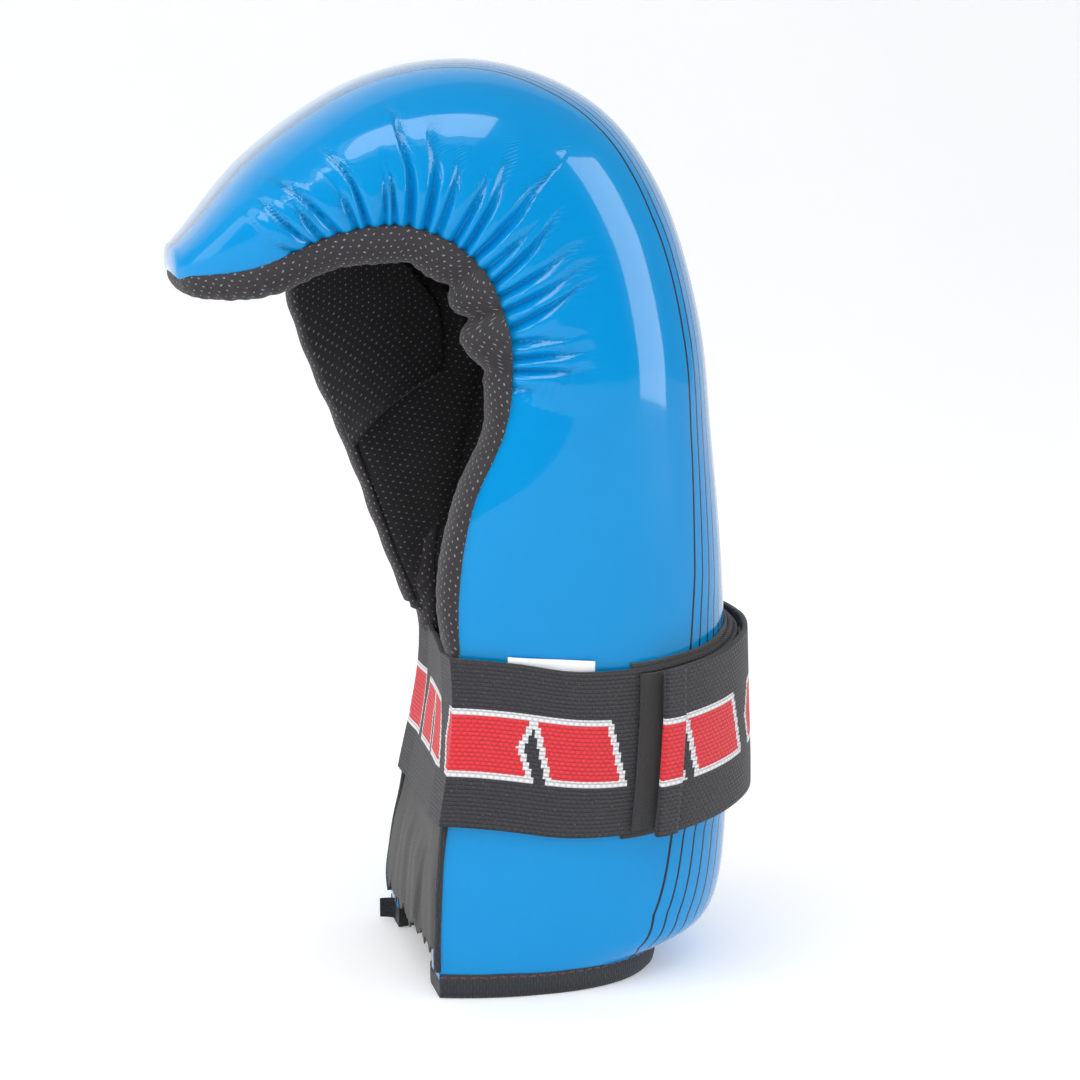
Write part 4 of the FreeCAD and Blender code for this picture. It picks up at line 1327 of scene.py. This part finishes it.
def build_gusset():
    rows = []
    columns = np.linspace(0, 1, 90)
    for i, s in enumerate(np.linspace(*GUSSET_S, 100)):
        q, y = palm_line(s)
        line = np.c_[q, y][::-1]
        line[0, 1] += 2.6
        line[-1, 1] -= 2.6
        line, _ = resample(line, columns)
        share = i / 99
        ragged = (0.09 * np.sin(columns * 61) + 0.06 * np.sin(columns * 143)) * max(0.0, 1 - 8 * share)
        fold = 0.5 * np.sin(columns * 21 + 2.2 * share) + 0.3 * np.sin(columns * 47 - 3 * share)
        step = 0.9 * smooth(columns + 0.22 * share, 0.30, 0.335)
        free = float(smooth(s, 2.0, 1.55))
        slack = GUSSET_SLACK * np.sin(math.pi * columns) ** 0.7 * (0.6 + 0.4 * fold)
        lift = 0.3 + free * (0.3 + slack + step)
        lift *= smooth(columns, -0.02, 0.05) * smooth(1 - columns, -0.02, 0.05)
        section = s + ragged
        row = [place(sec, qq - 0.2 - lf, yy) for sec, (qq, yy), lf in zip(section, line, lift)]
        rows.append(row)
    points = np.array(rows)
    v = np.concatenate([[0], np.cumsum(np.linalg.norm(np.diff(points[:, 45], axis=0), axis=1))])
    u = np.concatenate([[0], np.cumsum(np.linalg.norm(np.diff(points[50], axis=0), axis=1))])
    uv = np.stack(np.broadcast_arrays(u[None, :], v[:, None]), -1)
    obj = grid_object("wrist_gusset_panel", points, uv)
    apply_modifier(obj, "SOLIDIFY", thickness=0.5 * MM, offset=0.0)
    return obj, u[-1], v[-1]


gusset, gusset_wide, gusset_long = build_gusset()
finish_piece(gusset, "shell", "stretch_cloth", STRETCH_CLOTH, "wrist_gusset")
print("gusset in mm:", round(gusset_wide, 1), round(gusset_long, 1))


# %% [markdown]
# Inside the hood a flat elastic runs across from wall to wall, and the fingers go
# behind it. It sags a little in the middle. Its ends go into the lining on both sides.


# %% Finger loop
def build_finger_loop():
    s_mid, count = 9.4, 60
    rows = []
    for t in np.linspace(-1, 1, count):
        ring = []
        for k in range(24):
            a = 2 * math.pi * k / 24
            s = s_mid + 0.33 * np.sign(math.cos(a)) * abs(math.cos(a)) ** 0.4
            _, _, depth, width = frame_at(s)
            y_end = float(half_width(16.8, depth - back_foam(s) - LINING, width - side_foam(s) - LINING))
            q = 16.8 + 0.7 * math.sin(a) - 1.6 * (1 - t * t)
            ring.append(place(s, q, t * (y_end + 0.6)))
        rows.append(ring)
    points = np.array(rows)
    at = np.linspace(-38, 38, count)
    uv = np.stack([np.broadcast_to(at[:, None], points.shape[:2]),
                   np.broadcast_to(np.linspace(0, 30, 24)[None, :], points.shape[:2])], -1)
    return grid_object("finger_loop_elastic", points, uv, wrap=True, caps=(0, -1))


finish_piece(build_finger_loop(), "shell", "plain_elastic", PLAIN_ELASTIC, "finger_loop")

# %% [markdown]
# The thumb guard is a flat pad whose rear edge is sewn to the far wall. Its outline is
# a table of levels up that edge. Outside it has the blue skin and inside the mesh
# lining with a cloth pocket, whose slanting hem shows in the palm opening.

# %% Thumb guard frame
THUMB_ROOT = np.array([(-12.0 + X_SHIFT, 116.0), (3.0 + X_SHIFT, 195.0)])
THUMB_MID_Y, THUMB_HALF = 45.0, 4.8
THUMB_LEVELS = np.array([
    (-12.0, -9.0, -4.0), (6.0, 0.0, 6.5), (22.0, 0.0, 16.0), (40.0, 0.0, 27.0), (58.0, 0.0, 38.8),
    (74.0, 0.0, 48.5), (88.0, 4.5, 54.0), (98.0, 15.5, 53.0), (104.0, 24.0, 47.5), (107.5, 31.5, 41.5)])
ROOT_RUN = unit(THUMB_ROOT[1] - THUMB_ROOT[0])


def thumb_place(up, front, y):
    """Points up the guard's root line, in front of it, and y outside its middle."""
    up, front, y = np.broadcast_arrays(np.asarray(up, float), np.asarray(front, float), np.asarray(y, float))
    x = THUMB_ROOT[0, 0] + ROOT_RUN[0] * up - ROOT_RUN[1] * front
    z = THUMB_ROOT[0, 1] + ROOT_RUN[1] * up + ROOT_RUN[0] * front
    return np.stack([x, THUMB_MID_Y + y, z], -1)


def thumb_outline(up):
    """Rear and front of the guard at a level, as smooth curves through the table."""
    rows = THUMB_LEVELS
    i = int(np.clip(np.searchsorted(rows[:, 0], up) - 1, 0, len(rows) - 2))
    t = (up - rows[i, 0]) / (rows[i + 1, 0] - rows[i, 0])
    a, b, c, d = rows[max(i - 1, 0)], rows[i], rows[i + 1], rows[min(i + 2, len(rows) - 1)]
    m0, m1 = (c - a) / 2, (d - b) / 2
    value = ((2 * t**3 - 3 * t**2 + 1) * b + (t**3 - 2 * t**2 + t) * m0
             + (3 * t**2 - 2 * t**3) * c + (t**3 - t**2) * m1)
    return value[1], value[2]


def thumb_half(up):
    return THUMB_HALF * math.sqrt(max(0.05, 1 - max(0.0, (up - 96.0) / 16.0) ** 2))


THUMB_UPS = np.concatenate([np.linspace(-11.0, 86, 72, endpoint=False), np.linspace(86, 107.3, 40)])


def wall_front(ups):
    """Distance in front of the root line of the far wall's edge, at levels ups."""
    rows = []
    for s in np.linspace(3.0, 8.5, 120):
        p = place(s, set_back(s), 0.0)
        dx, dz = p[0] - THUMB_ROOT[0, 0], p[2] - THUMB_ROOT[0, 1]
        rows.append((ROOT_RUN[0] * dx + ROOT_RUN[1] * dz, ROOT_RUN[0] * dz - ROOT_RUN[1] * dx))
    rows = np.array(rows)
    return np.interp(ups, rows[:, 0], rows[:, 1])


WALL_FRONT = dict(zip(THUMB_UPS, wall_front(THUMB_UPS)))


def thumb_rear(up, rear):
    """Rear of the pad's cloth: it runs on to the far wall, except at the guard's free top."""
    joined = 1 - float(smooth(up, 90.0, 104.0))
    return rear + joined * (min(0.0, WALL_FRONT[up]) - 3.5)


# %% [markdown]
# The pad is one closed ring per level, lofted up the guard. Its rear runs on to the far
# wall, so the cloth is whole across the hinge.

# %% Thumb guard pad and lining
def thumb_ring(up, grow, count=56):
    """Rounded section of the pad at one level."""
    rear, front = thumb_outline(up)
    rear = thumb_rear(up, rear)
    h = thumb_half(up) + grow
    middle, half = (rear + front - 3.0) / 2, max(2.0, (front - 3.0 - rear) / 2 + 2.0)
    ring = []
    for k in range(count):
        a = 2 * math.pi * k / count
        c, d = math.cos(a), math.sin(a)
        f = middle + half * np.sign(c) * abs(c) ** 0.55
        ring.append(thumb_place(up, f, h * np.sign(d) * abs(d) ** 0.55))
    return ring


def build_thumb_pad():
    points = np.array([thumb_ring(up, 1.2) for up in THUMB_UPS])
    uv = np.stack([np.full(points.shape[:2], 300.0),
                   np.broadcast_to(THUMB_UPS[:, None], points.shape[:2])], -1)
    obj = grid_object("thumb_guard_pad", points, uv, wrap=True, caps=(0, -1))
    for name, value in (("back_share", 9.0), ("line_span", 60.0)):
        layer = obj.data.attributes.new(name, "FLOAT", "POINT")
        layer.data.foreach_set("value", np.full(len(obj.data.vertices), value, np.float32))
    return obj


def build_thumb_lining():
    rows = []
    for up in THUMB_UPS:
        ring = np.array(thumb_ring(up, 1.65, 80))
        rows.append(ring[40:80])
    points = np.array(rows)
    uv = np.stack([np.linalg.norm(points[:, :, (0, 2)] - points[:, :1, (0, 2)], axis=2),
                   np.broadcast_to(THUMB_UPS[:, None], points.shape[:2])], -1)
    obj = grid_object("thumb_guard_lining", points, uv)
    apply_modifier(obj, "SOLIDIFY", thickness=0.5 * MM, offset=0.0)
    return obj


thumb_pad = build_thumb_pad()
finish_piece(thumb_pad, None, "coated_skin", BLUE, "thumb_foam", "thumb_skin")
thumb_lining = build_thumb_lining()
finish_piece(thumb_lining, None, "dotted_mesh", LINING_CLOTH, "thumb_lining")
BEND_FROM, BEND_TO = -7.0, 5.0
for piece in (thumb_pad, thumb_lining):
    tuple(thumb_place(60.0, BEND_FROM, 0.0) * MM)
    tuple(thumb_place(60.0, BEND_TO, 0.0) * MM)
    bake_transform(piece)


# %% [markdown]
# The guard's free edge has a thin roll of the dotted cloth. It follows the outline up
# the front and over the rounded top, and ends inside the pad.


# %% Thumb guard's edge roll
def build_thumb_roll():
    rows = []
    for up in np.linspace(-9.0, 107.4, 176):
        rear, front = thumb_outline(up)
        rows.append((*thumb_place(up, front, 0), thumb_half(up)))
    rows = np.array(rows)
    top = []
    for share in np.linspace(0, 1, 40)[1:]:
        up = 107.4 - 20.0 * share**1.2
        rear, front = thumb_outline(up)
        top.append((*thumb_place(up, rear + (front - rear) * 0.5 * max(0, 1 - share * 4), 0), thumb_half(up)))
    path = np.concatenate([rows, np.array(top)])
    points, (half,), at = evenly(smoothed(path[:, :3], 8), [path[:, 3]], 1.2)
    tangent = unit(smoothed(np.gradient(points, axis=0), 4))
    out = np.cross(tangent, np.array([0.0, 1.0, 0.0]))
    centre = thumb_place(60.0, 20.0, 0.0)
    out *= np.sign(np.sum(out * (points - centre), axis=1))[:, None]
    wave = 0.2 * np.sin(at / 2.3) + 0.15 * np.sin(at / 3.9)
    sizes = np.stack([np.zeros(len(points)), half[:, 0] + 1.3 + 0.3 * wave, 2.6 + wave], 1)
    return swept_tube("thumb_guard_edge_roll", points - out * 2.0, out, sizes, around=26, tuck=1.5)


thumb_roll = build_thumb_roll()
finish_piece(thumb_roll, "thumb_guard", "dotted_mesh", ROLL_CLOTH, "thumb_edge_roll")


# %% [markdown]
# A pocket on the guard's inner face holds the thumb. It is one bulged sheet, fullest at
# its mouth and flat at its top, with a thickened hem along the slanting mouth.

# %% Thumb pocket
POCKET_HEM_FRONT, POCKET_HEM_SLOPE, POCKET_TOP = (38.4, 28.2), 1.02, 102.0
POCKET_ROWS, POCKET_COLUMNS = 60, 56


def build_pocket():
    rows = []
    for i in range(POCKET_ROWS):
        t = i / (POCKET_ROWS - 1)
        row = []
        for j in range(POCKET_COLUMNS):
            f_share = 0.02 + 0.97 * j / (POCKET_COLUMNS - 1)
            low_rear, low_front = thumb_outline(60.0)
            front_guess = low_rear + (low_front - low_rear) * f_share
            up_low = POCKET_HEM_FRONT[0] + (POCKET_HEM_FRONT[1] - front_guess * 0.72) * POCKET_HEM_SLOPE
            up = up_low + (POCKET_TOP - up_low) * t
            rear, front = thumb_outline(up)
            f = rear + 0.5 + (front - rear - 1.5) * f_share
            crown = math.sin(math.pi * f_share) ** 0.8 * (1 - t) ** 0.7
            lip = 1.1 * math.exp(-((t - 0.02) / 0.02) ** 2)
            y = -(thumb_half(up) + 2.3 + 5.0 * crown + lip)
            row.append(thumb_place(up, f, y))
        rows.append(row)
    points = np.array(rows)
    along_rows = np.cumsum(np.linalg.norm(np.diff(points, axis=1), axis=2), axis=1)
    down_columns = np.cumsum(np.linalg.norm(np.diff(points, axis=0), axis=2), axis=0)
    u = np.concatenate([np.zeros((POCKET_ROWS, 1)), along_rows], 1)
    v = np.concatenate([np.zeros((1, POCKET_COLUMNS)), down_columns], 0)
    obj = grid_object("thumb_pocket_cloth", points, np.stack([u, v], -1))
    apply_modifier(obj, "SOLIDIFY", thickness=1.0 * MM, offset=0.0)
    return obj


pocket = build_pocket()
finish_piece(pocket, "thumb_guard", "dotted_mesh", LINING_CLOTH, "thumb_pocket")

# %% [markdown]
# A plain studio: one white sweep that is floor and backdrop together, a white world,
# and large soft lights. Glossy fabric shows its surroundings, so the lights are placed
# for their reflections: a tall softbox at the right front gives the long upright
# highlight on the side wall.

# %% Floor and backdrop
def build_sweep():
    flat_end, bend = 900, 700
    turn = np.linspace(0.15, math.pi / 2, 12)
    profile = [(-1500, 0), (flat_end, 0)]
    profile += [(flat_end + bend * math.sin(a), bend - bend * math.cos(a)) for a in turn]
    profile += [(flat_end + bend, 3000)]
    points = np.array([[(x, y, z) for y, z in profile] for x in (-2600, -900, 900, 2600)], float)
    return grid_object("studio_sweep", points, flip=True)


sweep = build_sweep()
white_paper, paper_nodes, paper_shader = new_material("white_paper", (0.93, 0.94, 0.96), 0.9)
paper_cloud = paper_nodes.noise(object_vector(paper_nodes), 0.004, 1.0)
paper_nodes.feed(paper_shader.inputs["Base Color"],
                 paper_nodes.mix(paper_cloud, (0.92, 0.93, 0.955), (0.95, 0.955, 0.965)))
paper_shader.inputs["Emission Color"].default_value = (1.0, 1.0, 1.0, 1.0)
paper_shader.inputs["Emission Strength"].default_value = 0.24
sweep.data.materials.append(white_paper)
sweep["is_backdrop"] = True

# %% Light
world = bpy.data.worlds.new("studio")
bpy.context.scene.world = world
world.use_nodes = True
WORLD_FRONT, WORLD_BACK = (0.30, 0.31, 0.32, 1.0), (1.0, 1.0, 1.0, 1.0)
WORLD_SOFT, WORLD_MIRRORED = 0.75, 0.35


def build_world():
    """White round the back and above, dim in front, as in a studio with the camera's side unlit."""
    n = Nodes(world.node_tree)
    background = world.node_tree.nodes["Background"]
    direction = n.add("ShaderNodeTexCoord").outputs["Generated"]
    _, y, z = n.split(direction)
    ahead = n.ramp(n.math("ADD", y, n.math("MULTIPLY", z, 0.5)), -0.75, 0.1)
    n.feed(background.inputs["Color"], n.mix(ahead, WORLD_FRONT, WORLD_BACK))
    path = n.add("ShaderNodeLightPath").outputs
    mirrored = n.math("MULTIPLY", path["Is Glossy Ray"], WORLD_SOFT - WORLD_MIRRORED)
    n.feed(background.inputs["Strength"], n.math("SUBTRACT", WORLD_SOFT, mirrored))
    plain = n.add("ShaderNodeBackground")
    plain.inputs["Color"].default_value = (0.985, 0.99, 1.0, 1.0)
    choose = n.add("ShaderNodeMixShader")
    n.feed(choose.inputs[0], path["Is Camera Ray"])
    n.feed(choose.inputs[1], background.outputs[0])
    n.feed(choose.inputs[2], plain.outputs[0])
    n.feed(world.node_tree.nodes["World Output"].inputs["Surface"], choose.outputs[0])


build_world()
bpy.context.scene.view_settings.view_transform = "Standard"


def softbox(name, azimuth, elevation, distance, wide, high, power):
    """Area light on a sphere round the glove. Azimuth 0 is the front, 90 the right side."""
    light = bpy.data.lights.new(name, "AREA")
    light.shape = "RECTANGLE"
    light.size, light.size_y = wide, high
    light.energy = power
    obj = bpy.data.objects.new(name, light)
    bpy.context.scene.collection.objects.link(obj)
    a, e = math.radians(azimuth), math.radians(elevation)
    centre = Vector((0.0, 0.0, 0.14))
    direction = Vector((math.sin(a) * math.cos(e), -math.cos(a) * math.cos(e), math.sin(e)))
    obj.location = centre + direction * distance
    obj.rotation_euler = direction.to_track_quat("Z", "Y").to_euler()
    return obj


softbox("top_softbox", -20, 58, 1.5, 1.5, 0.9, 6.0)
softbox("left_softbox", -84, 18, 1.3, 0.4, 1.0, 3.5)
# three panels that only show as reflections, since the coating shines more than it is lit
for name, azimuth, elevation, distance, wide, high, power in (
        ("right_reflection", 60, 14, 1.3, 0.62, 1.2, 17.0),
        ("top_reflection", -14, 60, 1.5, 1.3, 0.7, 20.0),
        ("left_reflection", -60, 30, 1.4, 0.45, 0.5, 5.0)):
    panel = softbox(name, azimuth, elevation, distance, wide, high, power)
    panel.visible_diffuse = False
fill = softbox("front_fill", -5, 12, 1.8, 2.0, 2.0, 10.5)
fill.visible_glossy = False

# %% Camera
CAMERA_AZIMUTH, CAMERA_ELEVATION, CAMERA_DISTANCE = math.radians(-13), math.radians(9), 0.800
CAMERA_TARGET = Vector((0.026, 0.0, 0.132))
camera_data = bpy.data.cameras.new("camera")
camera_data.lens = 85.0
camera_data.sensor_width = 36.0
camera = bpy.data.objects.new("camera", camera_data)
bpy.context.scene.collection.objects.link(camera)
direction = Vector((math.sin(CAMERA_AZIMUTH) * math.cos(CAMERA_ELEVATION),
                    -math.cos(CAMERA_AZIMUTH) * math.cos(CAMERA_ELEVATION), math.sin(CAMERA_ELEVATION)))
camera.location = CAMERA_TARGET + direction * CAMERA_DISTANCE
camera.rotation_euler = direction.to_track_quat("Z", "Y").to_euler()
bpy.context.scene.camera = camera

# %% Sizes, then finish
low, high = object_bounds()
print("visual box in mm:", [round(v / MM, 1) for v in (*low, *high)])
